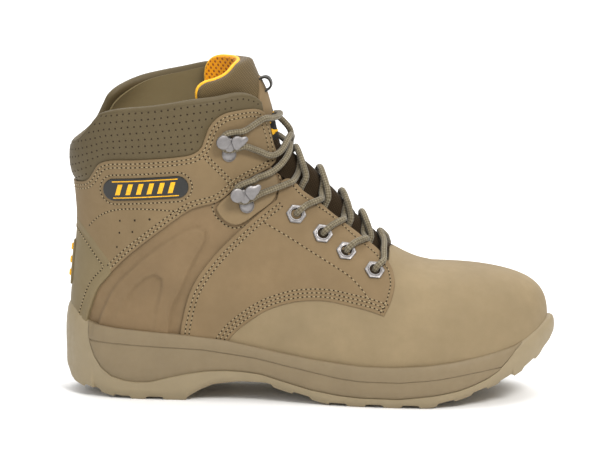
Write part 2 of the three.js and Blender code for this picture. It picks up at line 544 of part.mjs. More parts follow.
const lugGrooves = () => {
  const cuts = [];
  const cut = (x, width, y0, y1, height, tilt = 0) => {
    const geometry = new THREE.BoxGeometry(width, y1 - y0, 12);
    geometry.translate(0, (y0 + y1) / 2, 0);
    geometry.rotateZ(tilt);
    geometry.translate(x, 0, lerpTable(SOLE_BOTTOM, x) + height - 6);
    cuts.push(solidOfGeometry(geometry));
  };
  for (const x of [21, 38.5, 56]) cut(x, 6, -60, 60, 2.6);
  for (const x of [163, 181.5, 204, 226.5, 246, 262, 277]) cut(x, 7.5, -70, 70, 2.4);
  cut(59, 44, -5, 5, 2.6);
  cut(201, 66, -4, 4, 2.4);
  return cuts.reduce((all, one) => all.add(one));
};
const recess = formSolid(0.3).intersect(aboveFeather(-4.5));
const soleBlock = soleSolid().subtract(recess).subtract(slit(SPLIT, 0.5));
const midsoleArea = prism([...SPLIT, [296, 90], [15.4, 90]]);
addSolid('midsole', soleBlock.intersect(midsoleArea), MATERIAL.midsole);
addSolid('outsole', soleBlock.subtract(midsoleArea).subtract(lugGrooves()), MATERIAL.sole);

// ---- eyelets and hooks ------------------------------------------------------------------------------
function eyelet() {
  const plate = new THREE.Shape(Array.from({ length: 6 }, (_, i) => {
    const a = (Math.PI / 3) * i;
    return new THREE.Vector2(Math.cos(a), Math.sin(a)).multiplyScalar(EYELET.across / 2);
  }));
  const hex = new THREE.ExtrudeGeometry(plate, { depth: EYELET.plate, bevelEnabled: false });
  hex.translate(0, 0, EYELET.lift);
  const { hole, barrel, depth } = EYELET;
  const profile = [[hole, -depth], [barrel, -depth], [barrel, 0.9], [barrel + 0.2, 1.8], [hole, 1.6],
    [hole, -depth]].map((p) => new THREE.Vector2(...p));
  const tube = new THREE.LatheGeometry(profile, 9);
  tube.rotateX(Math.PI / 2);
  const bore = new THREE.CylinderGeometry(hole + 0.2, hole + 0.2, 8, 9);
  bore.rotateX(Math.PI / 2);
  return geometryOf(solidOfGeometry(hex).subtract(solidOfGeometry(bore)).add(solidOfGeometry(tube)));
}
// A lacing hook: a base with a rivet eye, a neck, and a raised lip of two lobes that holds the lace down.
function hook() {
  const base = new THREE.Shape();
  base.absarc(0, -RIVET_DROP, 4.4, Math.PI * 0.95, Math.PI * 2.05);
  base.absarc(0, 1.2, 3.4, Math.PI * 0.1, Math.PI * 0.9);
  const low = new THREE.ExtrudeGeometry(base, { depth: HOOK.base, bevelEnabled: false, curveSegments: 5 });
  const eye = new THREE.CylinderGeometry(2.3, 2.3, 6, 9);
  eye.rotateX(Math.PI / 2);
  eye.translate(0, -RIVET_DROP, 0);
  const neck = new THREE.CylinderGeometry(HOOK.neck, HOOK.neck, HOOK.clear + 0.4, 9);
  neck.rotateX(Math.PI / 2);
  neck.translate(0, 0, HOOK.base + HOOK.clear / 2);
  const lip = new THREE.Shape();
  lip.moveTo(0, -3.4);
  lip.bezierCurveTo(4, -3.2, 9.4, 4.6, 8.4, 6.4);
  lip.bezierCurveTo(7.2, 8, 3, 6.6, 1.2, 4.6);
  lip.bezierCurveTo(-0.6, 8, -6.2, 8.2, -7.4, 4.6);
  lip.bezierCurveTo(-8.4, 0.6, -3.4, -3.2, 0, -3.4);
  const high = new THREE.ExtrudeGeometry(lip, { depth: HOOK.top, bevelEnabled: false, curveSegments: 4 });
  high.translate(0, 0, HOOK.base + HOOK.clear);
  return geometryOf(solidOfGeometry(low).subtract(solidOfGeometry(eye))
    .add(solidOfGeometry(neck)).add(solidOfGeometry(high)));
}
const RIVET = [[0, 1.25], [2.9, 1.25], [2.6, 1.7], [0, 2]];
function rivet() {
  const shank = [[0, -4.2], [1.9, -4.2], [1.9, 1.25]];
  const profile = [...shank, ...RIVET.slice(1)].map((p) => new THREE.Vector2(...p));
  const geometry = new THREE.LatheGeometry(profile, 9);
  geometry.rotateX(Math.PI / 2);
  return geometry;
}
for (const side of ['lateral', 'medial']) {
  eyeletSpots.forEach((spot, i) => {
    const mesh = add(`eyelet_${side}_${i + 1}`, eyelet(), MATERIAL.metal);
    mesh.applyMatrix4(spotMatrix(spot, SIDE[side]));
  });
  hookSpots.forEach((_, i) => {
    const where = hookMatrix(i, SIDE[side]);
    add(`hook_${side}_${i + 1}`, hook(), MATERIAL.metal).applyMatrix4(where);
    add(`hook_rivet_${side}_${i + 1}`, rivet(), MATERIAL.metal).applyMatrix4(where.clone().multiply(RIVET_AT));
  });
}

// ---- lace -------------------------------------------------------------------------------------------
// The lace starts at the bar over the lowest eyelets. Each half goes in through an eyelet, comes out from
// under the quarter's edge, crosses the tongue to the next eyelet up on the other side, and ends round the
// two hooks. Points are [along, turn, side, height over the form].
const UNDER_EDGE = [2.85, 4.05, 5.2, 6.2];
const EDGE_TURN = [0.37, 0.385, 0.41, 0.45];
const CROSS_AT = [3.3, 4.45, 5.5];
const lacePoint = ([s, turn, side, off]) => offPoint(s, turn, side, off);
// Through an eyelet: [towards the ridge, along the leather, height].
const EYELET_PASS = [[7.5, -1.6, 3.9], [4.2, -0.9, 4.7], [1.2, -0.2, 3.2], [0.4, 0, 0.6], [0.4, 0, -0.9],
  [1.2, 0.3, -3.5], [4.2, 1, -5.2]];
const eyeletPass = (i, side) => EYELET_PASS.map(([f, u, h]) =>
  new THREE.Vector3(side < 0 ? f : -f, u, h).applyMatrix4(spotMatrix(eyeletSpots[i], side)));
const riseFromEdge = (i, side) => [[UNDER_EDGE[i] - 0.04, EDGE_TURN[i] + 0.04, side, -5.3],
  [UNDER_EDGE[i] + 0.04, EDGE_TURN[i] - 0.1, side, -1.8],
  [UNDER_EDGE[i] + 0.12, EDGE_TURN[i] - 0.21, side, 1.3]].map(lacePoint);
const CLEAR_OF_TONGUE = 2.9;        // least heights of the lace beside the ridge and at the quarter's edge
const CLEAR_OF_EDGE = 3.4;
const crossTo = (i, side, height) => [[CROSS_AT[i], 0.001, side, height],
  [CROSS_AT[i] + 0.12, 0.2, side, Math.max(height - 0.9, CLEAR_OF_TONGUE)],
  [CROSS_AT[i] + 0.24, 0.38, side, Math.max(height - 2.4, CLEAR_OF_EDGE)]].map(lacePoint);
const hookPoint = (k, side, forward, up, off) => new THREE.Vector3(side < 0 ? forward : -forward, up, off)
  .applyMatrix4(hookMatrix(k, side));
const HOOK_TURN = [[9, -4.2], [3.4, -5.1], [-2.4, -4.9], [-5, -1.6], [-4.7, 2.4], [-1.6, 5], [3, 5.4], [9, 5.4]];
const LACE_OVER_BASE = 3.7;
const roundHook = (k, side) => HOOK_TURN.map(([f, u]) => hookPoint(k, side, f, u, LACE_OVER_BASE));

function laceHalf(start, heights) {
  const points = [[2.26, 0.18, start, 3.2], [2.3, 0.36, start, 3.8]].map(lacePoint);
  let side = start;
  for (let i = 0; i < 4; i++) {
    points.push(...eyeletPass(i, side), ...riseFromEdge(i, side));
    side = -side;
    if (i < 3) points.push(...crossTo(i, side, heights[i]));
  }
  points.push(...[[6.9, 0.001, side, heights[3]], [7.3, 0.25, side, 4.2],
    [7.7, 0.5, side, 4.6]].map(lacePoint));
  points.push(...roundHook(0, side));
  side = -side;
  points.push(...[[9.3, 0.45, -side, 4.4], [9.5, 0.2, -side, 4.4], [9.7, 0.001, side, heights[4]],
    [9.95, 0.22, side, 4.4], [10.3, 0.45, side, 4.4]].map(lacePoint));
  points.push(...roundHook(1, side));
  return points;
}
const LOW = 2;
const HIGH = 6.4;
const halfA = laceHalf(-1, [LOW, HIGH, LOW, HIGH, 3.4]);    // ends at the inner side's upper hook
const halfB = laceHalf(1, [HIGH, LOW, HIGH, LOW, 8]);       // ends at the outer side's upper hook
halfA.push(hookPoint(1, 1, 13, 4.6, 4.4));
halfB.push(...[[11.85, 0.5, -1, 4.4], [11.8, 0.25, -1, 4.2], [11.6, 0.001, 1, 3.4], [11.4, 0.2, 1, 4],
  [11.15, 0.36, 1, 5.2]].map(lacePoint));
const bar = [lacePoint([2.22, 0.001, 1, 2.9])];
const heldRoute = [...halfA.slice().reverse(), ...bar, ...halfB];

// A curve through the points, stepped evenly from point to point, so tight turns get short steps.
class Route extends THREE.Curve {
  constructor(points) {
    super();
    this.spline = new THREE.CatmullRomCurve3(points, false, 'centripetal');
  }
  getPoint(t, target = new THREE.Vector3()) { return this.spline.getPoint(t, target); }
  getPointAt(u, target) { return this.getPoint(u, target); }
  getTangentAt(u, target) { return this.getTangent(u, target); }
}
function cord(points, steps, diameter = LACE_D) {
  const ring = new THREE.Shape(Array.from({ length: LACE_SIDES }, (_, i) => {
    const a = (2 * Math.PI * (i + 0.5)) / LACE_SIDES;
    return new THREE.Vector2(Math.cos(a), Math.sin(a)).multiplyScalar(diameter / 2);
  }));
  return new THREE.ExtrudeGeometry(ring, { steps, extrudePath: new Route(points), bevelEnabled: false });
}
add('lace', cord(heldRoute, heldRoute.length - 1), MATERIAL.lace);

const V = (x, y, z) => new THREE.Vector3(x, y, z);
const FREE_END = {                  // free ends hang down the inner side
  a: [V(124, 44.5, 158), V(125, 47, 148), V(122, 47.5, 128), V(119, 47, 100), V(118, 46, 72), V(119, 45, 50),
    V(121, 45, 34)],
  b: [V(141, 24, 164), V(141, 30, 152), V(139, 35, 130), V(136, 39, 104), V(135.5, 42, 78), V(137.5, 43.5, 58),
    V(139, 44.5, 46)],
};
const LEAD_GAP = 0.6;
const ends = { a: halfA.slice(-2), b: halfB.slice(-2) };
for (const [key, [before, last]] of Object.entries(ends)) {
  const way = last.clone().sub(before).normalize();
  FREE_END[key].unshift(last.clone().addScaledVector(way, LEAD_GAP), last.clone().addScaledVector(way, 4));
}
const AGLET = { length: 20, radius: 1.7 };
function aglet(points) {
  const end = points[points.length - 1];
  const way = new Route(points).getTangent(1);
  const profile = [[0, 0], [AGLET.radius, 0], [AGLET.radius, AGLET.length - 0.8], [1.2, AGLET.length],
    [0, AGLET.length]].map((p) => new THREE.Vector2(...p));
  const geometry = new THREE.LatheGeometry(profile, 9);
  geometry.applyQuaternion(new THREE.Quaternion().setFromUnitVectors(V(0, 1, 0), way));
  geometry.translate(...end.clone().addScaledVector(way, GAP).toArray());
  return geometry;
}
for (const [key, points] of Object.entries(FREE_END)) {
  add(`lace_end_${key}`, cord(points, points.length * 2), MATERIAL.lace);
  add(`aglet_${key}`, aglet(points), MATERIAL.aglet);
}

boot.updateMatrixWorld(true);
const bounds = new THREE.Box3().setFromObject(boot);
boot.position.set(-(bounds.min.x + bounds.max.x) / 2, -(bounds.min.y + bounds.max.y) / 2, -bounds.min.z);

export default boot;
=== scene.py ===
# Visual model of a steel toe work boot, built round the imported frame.
# Shapes are worked out in the design's own millimetres (heel at x 0, centre line y 0, ground z 0) and
# moved into the row frame by row().
import math

import bpy
import numpy as np
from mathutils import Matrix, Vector
from mathutils.geometry import delaunay_2d_cdt


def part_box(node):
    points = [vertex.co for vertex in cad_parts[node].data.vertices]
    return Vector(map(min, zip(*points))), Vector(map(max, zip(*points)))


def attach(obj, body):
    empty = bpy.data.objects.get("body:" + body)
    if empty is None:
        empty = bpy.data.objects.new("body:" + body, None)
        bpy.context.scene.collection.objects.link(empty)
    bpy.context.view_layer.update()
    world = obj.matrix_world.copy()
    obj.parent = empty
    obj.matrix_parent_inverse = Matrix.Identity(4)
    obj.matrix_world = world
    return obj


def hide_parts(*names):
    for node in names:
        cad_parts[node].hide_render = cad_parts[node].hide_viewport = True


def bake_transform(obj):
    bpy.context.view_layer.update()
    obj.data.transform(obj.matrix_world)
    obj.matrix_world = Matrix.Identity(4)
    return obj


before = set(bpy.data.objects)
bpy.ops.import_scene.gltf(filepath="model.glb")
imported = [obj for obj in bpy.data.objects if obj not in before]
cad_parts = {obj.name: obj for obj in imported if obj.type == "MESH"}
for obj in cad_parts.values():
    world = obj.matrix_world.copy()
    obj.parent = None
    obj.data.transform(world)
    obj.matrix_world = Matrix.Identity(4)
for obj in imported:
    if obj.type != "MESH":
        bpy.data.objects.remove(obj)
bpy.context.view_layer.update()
MM = 0.001
PI = math.pi

SIDES = {-1: "lateral", 1: "medial"}     # the sign of y, and the word for it in names
HEEL_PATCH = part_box("heel_patch")
ORIGIN = np.array([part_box("outsole")[0][0], (HEEL_PATCH[0][1] + HEEL_PATCH[1][1]) / 2, 0.0])


def row(p):
    """Design millimetres to metres in the row frame."""
    return np.asarray(p, float) * MM + ORIGIN


def unit(v):
    return v / np.maximum(np.linalg.norm(v, axis=-1, keepdims=True), 1e-9)


# ---------------------------------------------------------------- form of the upper
# Sections, toe end to collar: ridge x, ridge z, back x, back z, lateral half, medial half, centre y.
SECTIONS = np.array([
    [232, 84.5, 232, -21.5, 50, 47.5, 0.8], [221, 87.5, 214, -23, 50, 46.5, 0.3],
    [208, 94, 190, -24, 48.5, 43, 0], [194, 104, 162, -24, 45.5, 38.5, 0],
    [184, 113.5, 130, -24, 41.5, 35.5, 0], [173, 125.3, 97, -26, 38, 34, 0],
    [159, 140, 62, -30, 36, 34, 0], [149, 148.5, 28, -24, 35.5, 34.5, 0],
    [141.5, 154.8, 7, 2, 36, 35.5, 0], [137.3, 160.5, 3, 31, 36.5, 36, 0],
    [134.7, 168, 4, 56, 37, 36.5, 0], [133, 176, 6, 82, 37.5, 37, 0],
    [131, 184, 8.5, 108, 38, 38, 0], [128.5, 192, 7.5, 130, 39, 39, 0],
    [125, 200, 5, 148, 40, 40, 0], [121, 210, 8, 165, 41, 41, 0],
    [117, 219, 16, 178, 41, 41, 0], [112, 230, 27, 192, 41, 41, 0]], float)
LAST = len(SECTIONS) - 1
SQUARENESS = [[-1, 0, 2, 5, 8, 12, 17], [0.82, 0.86, 0.95, 1, 0.96, 0.9, 0.88]]
TOE_X0, TOE_X1 = 232.0, 305.5
FEATHER = np.array([
    [-6, 51], [4.5, 50], [15.6, 46.9], [34.3, 44.6], [72.6, 41.8], [104, 38.7], [136, 32.3], [158.7, 28.5],
    [177.7, 26.4], [190.7, 25.3], [210, 25.2], [229.6, 26.4], [249, 28.6], [268, 32], [286, 36],
    [292.3, 38.8], [302.4, 44.7], [310, 49.9], [318, 55]])


def table(rows, x):
    """Values read off a table of [x, value] with straight runs between its rows."""
    rows = np.asarray(rows, float)
    return np.interp(x, rows[:, 0], rows[:, 1])


def catmull(a, b, c, d, t):
    """The smooth curve through a, b, c and d, between b and c."""
    bend = 2 * a - 5 * b + 4 * c - d
    twist = 3 * b - a - 3 * c + d
    return 0.5 * (2 * b + (c - a) * t + bend * t * t + twist * t ** 3)


def smooth_table(rows, x):
    """Values read off a table of [x, value] with smooth runs between its rows."""
    rows = np.asarray(rows, float)
    last = len(rows) - 1
    i = np.clip(np.searchsorted(rows[:, 0], x, side="left") - 1, 0, last - 1)
    t = np.clip((x - rows[i, 0]) / (rows[i + 1, 0] - rows[i, 0]), 0, 1)
    v = rows[:, 1]
    return catmull(v[np.maximum(i - 1, 0)], v[i], v[i + 1], v[np.minimum(i + 2, last)], t)


def run_on(p):
    """The rows with one more at each end, carried straight on."""
    return np.vstack([2 * p[0] - p[1], p, 2 * p[-1] - p[-2]])


SPREAD = run_on(SECTIONS)


def section(s):
    """Sections between those of the list, and past s 0 down to s -1 at the toe's end."""
    s = np.atleast_1d(np.asarray(s, float))
    i = np.clip(np.floor(s).astype(int), 0, LAST - 1)
    w = (s - i)[:, None]
    out = catmull(*(SPREAD[i + k] for k in range(4)), w)
    toe = s < 0
    if toe.any():
        u = np.sin(np.clip(-s[toe], 0, 1) * PI / 2)
        x = TOE_X0 + (TOE_X1 - TOE_X0) * u
        mid = 31.5 + 14.5 * u ** 1.7
        half = 53 * np.maximum(1 - u ** 1.5, 0) ** (1 / 2.8)
        k = np.sqrt(np.maximum(1 - u * u, 0))
        out[toe] = np.stack([x, mid + half, x, mid - half, 50 * k, 47.5 * k, 0.8 + 4.2 * u], 1)
    return out


def form(s, t):
    """Points of the form: s along the boot, t round it, 0 at the ridge, below 0 on the lateral side."""
    s, t = np.broadcast_arrays(np.atleast_1d(np.asarray(s, float)), np.atleast_1d(np.asarray(t, float)))
    r = section(s.ravel())
    t = t.ravel()
    e = np.interp(s.ravel(), *SQUARENESS)
    c, n = np.cos(t), np.sin(t)
    f = (1 - np.sign(c) * np.abs(c) ** e) / 2
    w = np.where(n < 0, r[:, 4], r[:, 5])
    y = r[:, 6] + np.sign(n) * w * np.abs(n) ** e
    return np.stack([r[:, 0] + (r[:, 2] - r[:, 0]) * f, y, r[:, 1] + (r[:, 3] - r[:, 1]) * f], 1)


def normal(s, t):
    """The form's outward normals."""
    s = np.maximum(np.atleast_1d(np.asarray(s, float)), -0.965)
    s, t = np.broadcast_arrays(s, np.atleast_1d(np.asarray(t, float)))
    h, g = 0.02, 0.03
    ps = form(s + h, t) - form(s - h, t)
    pt = form(s, t + g) - form(s, t - g)
    return unit(np.cross(pt, ps))


def on_form(s, t, off=0.0):
    """Points held off the form along its normals."""
    return form(s, t) + normal(s, t) * np.asarray(off, float).reshape(-1, 1)


SCAN = np.concatenate([np.linspace(-0.999, 0, 81), np.linspace(0, LAST, 400)[1:]])
SCAN_ROWS = section(SCAN)
SCAN_MIDDLES = section((SCAN[:-1] + SCAN[1:]) / 2)
NOWHERE = 1e9


def side_of(r, p):
    """Which side of a section's line, ridge to back, the side-view points p lie on."""
    d = r[..., 2:4] - r[..., 0:2]
    q = p - r[..., 0:2]
    return d[..., 0] * q[..., 1] - d[..., 1] * q[..., 0]


def share_along(r, p):
    """How far along a section's line the points p lie, 0 at the ridge and 1 at the back."""
    d = r[..., 2:4] - r[..., 0:2]
    return ((p - r[..., 0:2]) * d).sum(-1) / np.maximum((d * d).sum(-1), 1e-9)


def locate(xz):
    """Side-view points [x, z] to (s, |t|)."""
    p = np.asarray(xz, float)
    wide = p[:, None, :]
    g = side_of(SCAN_ROWS[None], wide)
    middle = np.abs(share_along(SCAN_MIDDLES[None], wide) - 0.5)
    score = np.where(g[:, :-1] * g[:, 1:] <= 0, middle, NOWHERE)
    k = score.argmin(1)
    none = score.min(1) >= NOWHERE
    k[none] = np.abs(g[none, :-1]).argmin(1)
    a, b, ga = SCAN[k], SCAN[k + 1], g[np.arange(len(p)), k]
    for _ in range(26):
        m = (a + b) / 2
        gm = side_of(section(m), p)
        low = ga * gm <= 0
        b = np.where(low, m, b)
        a, ga = np.where(low, a, m), np.where(low, ga, gm)
    f = share_along(section(a), p)
    q = 1 - 2 * np.clip(f, 0, 1)
    e = np.interp(a, *SQUARENESS)
    return np.stack([a, np.arccos(np.sign(q) * np.abs(q) ** (1 / e))], 1)


# ---------------------------------------------------------------- side-view lines
COLLAR_SEAM = [
    [-12, 136], [7, 135.5], [13.8, 136.5], [17.8, 138.4], [21.5, 143.6], [25, 148.8], [31.2, 151.6],
    [50.3, 153], [75.8, 155.2], [84.8, 157], [89.6, 160.4], [92, 166], [94.6, 173], [98.5, 178.2],
    [104, 181.8], [113.2, 183.5], [122, 183.6], [126.5, 181.6], [129, 178]]
TOP_LINE = {
    -1: [[0, 158], [6, 160.5], [12, 164.5], [18, 171], [23, 177.5], [27, 181.3], [33, 183.8],
         [39.6, 185.4], [62.7, 187.9], [83.7, 191.3], [99.4, 193], [110, 194.6], [116, 194.2],
         [121.5, 191.8], [125.5, 188], [128.3, 183.5], [129.3, 180]],
    1: [[0, 158], [6, 160.5], [12, 164.5], [17, 170], [21.6, 178.5], [25, 184.6], [30, 189.6],
        [36.2, 193.2], [45.3, 196.6], [57.6, 199.2], [72, 202], [87, 205.4], [100, 207], [112, 206],
        [120, 203], [125.5, 198], [128.5, 191.5], [129.5, 184]]}
DIAGONAL = [
    [131.5, 146], [113.7, 137.2], [100.8, 127], [84.1, 122], [73.1, 114.9], [62.7, 107],
    [51.3, 98], [44.5, 92.3], [38.1, 86.1], [32.6, 80.4]]
BACKSTAY_EDGE = [
    [-12, 112.5], [9, 111.6], [18, 105.2], [27, 94.5], [33.6, 86.6], [32.6, 80.4], [24.2, 70], [19.3, 58],
    [16.4, 48], [15.4, 38]]
QUARTER_REAR = [
    [138.4, 137.5], [136.1, 126.8], [125.5, 118.7], [117, 111.3], [109, 104], [100.8, 95.8],
    [93.7, 87.4], [87.7, 79.1], [83.1, 70.5], [80.2, 62], [78.1, 53], [76.7, 46], [75.2, 30]]
LACING_EDGE = [
    [138.4, 137.5], [141.6, 138.9], [144.9, 138.4], [148, 135.9], [151.5, 132], [158, 127.2],
    [172.1, 117.2], [188.4, 103.3], [199.1, 95], [205, 89.1]]
QUARTER_NOSE = [[205, 89.1], [208.5, 84.8], [210, 80.6], [210.8, 75.6], [208.8, 66.1], [204.6, 57.4]]
QUARTER_FOOT = [
    [204.6, 57.4], [195.3, 60.4], [180.8, 63.5], [171, 65.2], [161.8, 65.6], [150.1, 64.6], [140.9, 62.3],
    [129.8, 57.9], [118.6, 50.4], [110.6, 43.6], [103.5, 34], [99, 26]]
ANKLE_FRONT = [[129, 178], [131.6, 171.2], [133.8, 162], [135, 154.9], [135, 150], [131.5, 146]]
FACING = [[131, 144.6], [113.7, 135.6], [101.4, 126], [98.9, 122.6], [100.9, 118], [106.2, 113.2],
          [110.5, 111.6], [115.4, 112.7], [123.5, 118.2], [134.2, 126.8], [136.6, 137], [134.6, 142]]


def centripetal(a, b, c, e, count):
    """The curve's points from b up to c, without c itself."""
    t0, t1, t2 = (max(np.linalg.norm(q - r), 1e-3) ** 0.5 for q, r in ((b, a), (c, b), (e, c)))
    m1 = ((b - a) / t0 - (c - a) / (t0 + t1) + (c - b) / t1) * t1
    m2 = ((c - b) / t1 - (e - b) / (t1 + t2) + (e - c) / t2) * t1
    t = (np.arange(count) / count)[:, None]
    return b + m1 * t + (3 * (c - b) - 2 * m1 - m2) * t * t + (2 * (b - c) + m1 + m2) * t ** 3


CORNER_COSINE = 0.72     # a line that turns more sharply than this keeps its corner


def dense(line, step=1.3, smooth=True):
    """A side-view line as close points; smooth rounds its gentle bends and keeps its corners."""
    p = np.asarray(line, float)
    smooth = smooth and len(p) > 2
    d = unit(np.diff(p, axis=0))
    corner = np.ones(len(p), bool)
    corner[1:-1] = (d[:-1] * d[1:]).sum(1) < CORNER_COSINE
    out = []
    for i, (b, c) in enumerate(zip(p[:-1], p[1:])):
        n = max(1, math.ceil(np.linalg.norm(c - b) / step))
        if smooth:
            a = 2 * b - c if corner[i] else p[i - 1]
            e = 2 * c - b if corner[i + 1] else p[i + 2]
            out.append(centripetal(a, b, c, e, n))
        else:
            out.append(b + (c - b) * (np.arange(n) / n)[:, None])
    return np.vstack(out + [p[-1:]])


def shift(line, d, **k):
    """A line moved sideways by d, to the left of its direction."""
    p = dense(line, **k)
    g = unit(np.gradient(p, axis=0))
    q = p + np.stack([-g[:, 1], g[:, 0]], 1) * d
    keep = [0]
    for i in range(1, len(q)):     # drop the loops of tight inner bends
        if ((q[i] - q[keep[-1]]) * g[i]).sum() > 0.05:
            keep.append(i)
    return q[keep]


def join(*lines):
    """Lines end to end, without doubled points."""
    out = []
    for line in lines:
        for p in np.asarray(line, float):
            if not out or np.linalg.norm(p - out[-1]) > 0.05:
                out.append(p)
    return np.array(out)


def trace(line, clip=3.0):
    """A dense side-view path to (s, |t|), kept no more than clip below the feather line."""
    p = np.array(line, float)
    if clip is not None:
        p[:, 1] = np.maximum(p[:, 1], table(FEATHER, p[:, 0]) - clip)
    return locate(p)


def keep_apart(st, half, x0=-1e9, x1=1e9):
    """Moves points out so that |y| is at least half, for those between x0 and x1."""
    st = st.copy()
    r = section(st[:, 0])
    e = np.interp(st[:, 0], *SQUARENESS)
    low = np.arcsin(np.clip((half / r[:, 4]) ** (1 / e), 0, 1))
    x = form(st[:, 0], st[:, 1])[:, 0]
    inside = (x > x0) & (x < x1) & (st[:, 1] < low)
    st[inside, 1] = low[inside]
    return st


def signed(st, side):
    """A path of (s, |t|) on one side: -1 lateral, 1 medial."""
    return np.stack([st[:, 0], st[:, 1] * side], 1)


def round_heel(st):
    """A medial path carried on round the heel to the lateral side, where t is past PI."""
    return np.stack([st[:, 0], 2 * PI - st[:, 1]], 1)


def round_back(medial, lateral=None):
    """Two half paths joined over the back; both sides are alike if only one is given."""
    return np.vstack([medial, round_heel(medial if lateral is None else lateral)[::-1]])


def over_ridge(medial, lateral=None):
    """Two half paths joined over the ridge; both sides are alike if only one is given."""
    return np.vstack([medial, signed(medial if lateral is None else lateral, -1)[::-1]])


# ---------------------------------------------------------------- meshes
def make(name, verts, faces, material, slot=None, body="boot", replaces=(), uv=None, sharp=42):
    """A smooth-shaded piece, with edges of more than sharp degrees kept, that rides on a body."""
    mesh = bpy.data.meshes.new(name)
    mesh.from_pydata(row(verts).tolist(), [], [tuple(int(i) for i in f) for f in faces])
    mesh.update()
    mesh.polygons.foreach_set("use_smooth", [True] * len(mesh.polygons))
    if uv is not None:
        layer = mesh.uv_layers.new(name="UVMap")
        index = np.empty(len(mesh.loops), int)
        mesh.loops.foreach_get("vertex_index", index)
        layer.data.foreach_set("uv", np.asarray(uv, np.float32)[index].ravel())
    if sharp:
        mesh.set_sharp_from_angle(angle=math.radians(sharp))
    obj = bpy.data.objects.new(name, mesh)
    bpy.context.scene.collection.objects.link(obj)
    obj.data.materials.append(material)
    if body:
        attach(obj, body)
    if replaces:
        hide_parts(*replaces)
    return obj


def bands(count, sides, wrap=False):
    """Faces between count rings of points, one after the other; wrap joins the last ring to the first."""
    faces = []
    for i in range(count if wrap else count - 1):
        a, b = i * sides, (i + 1) % count * sides
        for j in range(sides):
            k = (j + 1) % sides
            faces.append((a + j, a + k, b + k, b + j))
    return faces


def drum(rings):
    """A closed body from a stack of equal rings, with a flat face over each end."""
    count, sides = len(rings), len(rings[0])
    ends = [tuple(range(sides))[::-1], tuple(range((count - 1) * sides, count * sides))]
    return np.vstack(rings), bands(count, sides) + ends


def merge(parts):
    """Several bodies as one mesh."""
    verts, faces = [], []
    n = 0
    for v, f in parts:
        verts.append(v)
        faces += [tuple(i + n for i in face) for face in f]
        n += len(v)
    return np.vstack(verts), faces


def ribbon(s, t0, t1):
    """The closed path of a strip between two edges, t0 and t1, along s."""
    return np.vstack([np.c_[s, t0], np.c_[s, t1][::-1]])


def run_of(p):
    """The way run along a path at each of its points."""
    return np.concatenate([[0], np.cumsum(np.linalg.norm(np.diff(p, axis=0), axis=1))])


def inside_poly(p, poly):
    """Which of the flat points p lie inside a closed outline."""
    x, y = p[:, 0], p[:, 1]
    inside = np.zeros(len(p), bool)
    for (x0, y0), (x1, y1) in zip(poly, np.roll(poly, -1, axis=0)):
        if y0 == y1:
            continue
        hit = ((y0 > y) != (y1 > y)) & (x < (x1 - x0) * (y - y0) / (y1 - y0) + x0)
        inside ^= hit
    return inside


FLAT_S, FLAT_TOE, FLAT_T = 15, 110, 42     # millimetres of leather for one unit of s, of s at the toe, of t


def plane(st):
    """(s, t) laid out flat, near enough in millimetres, for the meshing."""
    s = st[:, 0]
    return np.stack([s * np.where(s > 0, FLAT_S, FLAT_TOE), FLAT_T * st[:, 1]], 1)


def unplane(p):
    return np.stack([p[:, 0] / np.where(p[:, 0] > 0, FLAT_S, FLAT_TOE), p[:, 1] / FLAT_T], 1)


def nearest(p, q):
    """Distance from each of p to the nearest of q."""
    out = np.empty(len(p))
    qq = (q * q).sum(1)
    for i in range(0, len(p), 2000):
        c = p[i:i + 2000]
        out[i:i + 2000] = np.sqrt(np.maximum((c * c).sum(1)[:, None] + qq - 2 * c @ q.T, 0).min(1))
    return out


def close_points(p, step=0.5):
    """Straight runs between the points, cut into short steps."""
    out = []
    for a, b in zip(p[:-1], p[1:]):
        n = max(1, int(np.linalg.norm(b - a) / step))
        out.append(a + (b - a) * (np.arange(n) / n)[:, None])
    out.append(p[-1:])
    return np.vstack(out)


def moved_inside(st, d, sign):
    """Points of a closed path moved d millimetres to its inside along the form."""
    P = form(st[:, 0], st[:, 1])
    tangent = unit(np.roll(P, -1, 0) - np.roll(P, 1, 0))
    w = np.cross(normal(st[:, 0], st[:, 1]), tangent) * sign * d
    h = 0.01
    ps = (form(st[:, 0] + h, st[:, 1]) - form(st[:, 0] - h, st[:, 1])) / (2 * h)
    pt = (form(st[:, 0], st[:, 1] + h) - form(st[:, 0], st[:, 1] - h)) / (2 * h)
    a, b, c = (ps * ps).sum(1), (ps * pt).sum(1), (pt * pt).sum(1)
    u, v = (ps * w).sum(1), (pt * w).sum(1)
    det = np.maximum(a * c - b * b, 1e-6)
    return st + np.stack([(u * c - v * b) / det, (v * a - u * b) / det], 1)


WAVES = [([1.3, 0.7, -0.9], 1.0, 1.7), ([-0.6, 1.5, 0.8], 1.31, 4.1), ([0.5, -1.1, 1.6], 1.73, 0.0),
         ([1.9, 0.3, 0.6], 0.77, 2.2)]     # direction, frequency, phase


def soft_noise(p, size):
    """Slow smooth bumps between -1 and 1."""
    q = np.asarray(p) / size
    return sum(np.sin(q @ way * often + phase) for way, often, phase in WAVES) / len(WAVES)


def step01(x):
    """0 below 0, 1 above 1, and a smooth step between."""
    x = np.clip(x, 0, 1)
    return x * x * (3 - 2 * x)


RIPPLE_SIZE = 11.0
SAME_POINT = 0.35        # path points closer than this in the flat are taken as one
THINNEST = 0.05


def value_at(v, s, t, d):
    return v(s, t, d) if callable(v) else np.full(len(s), float(v))


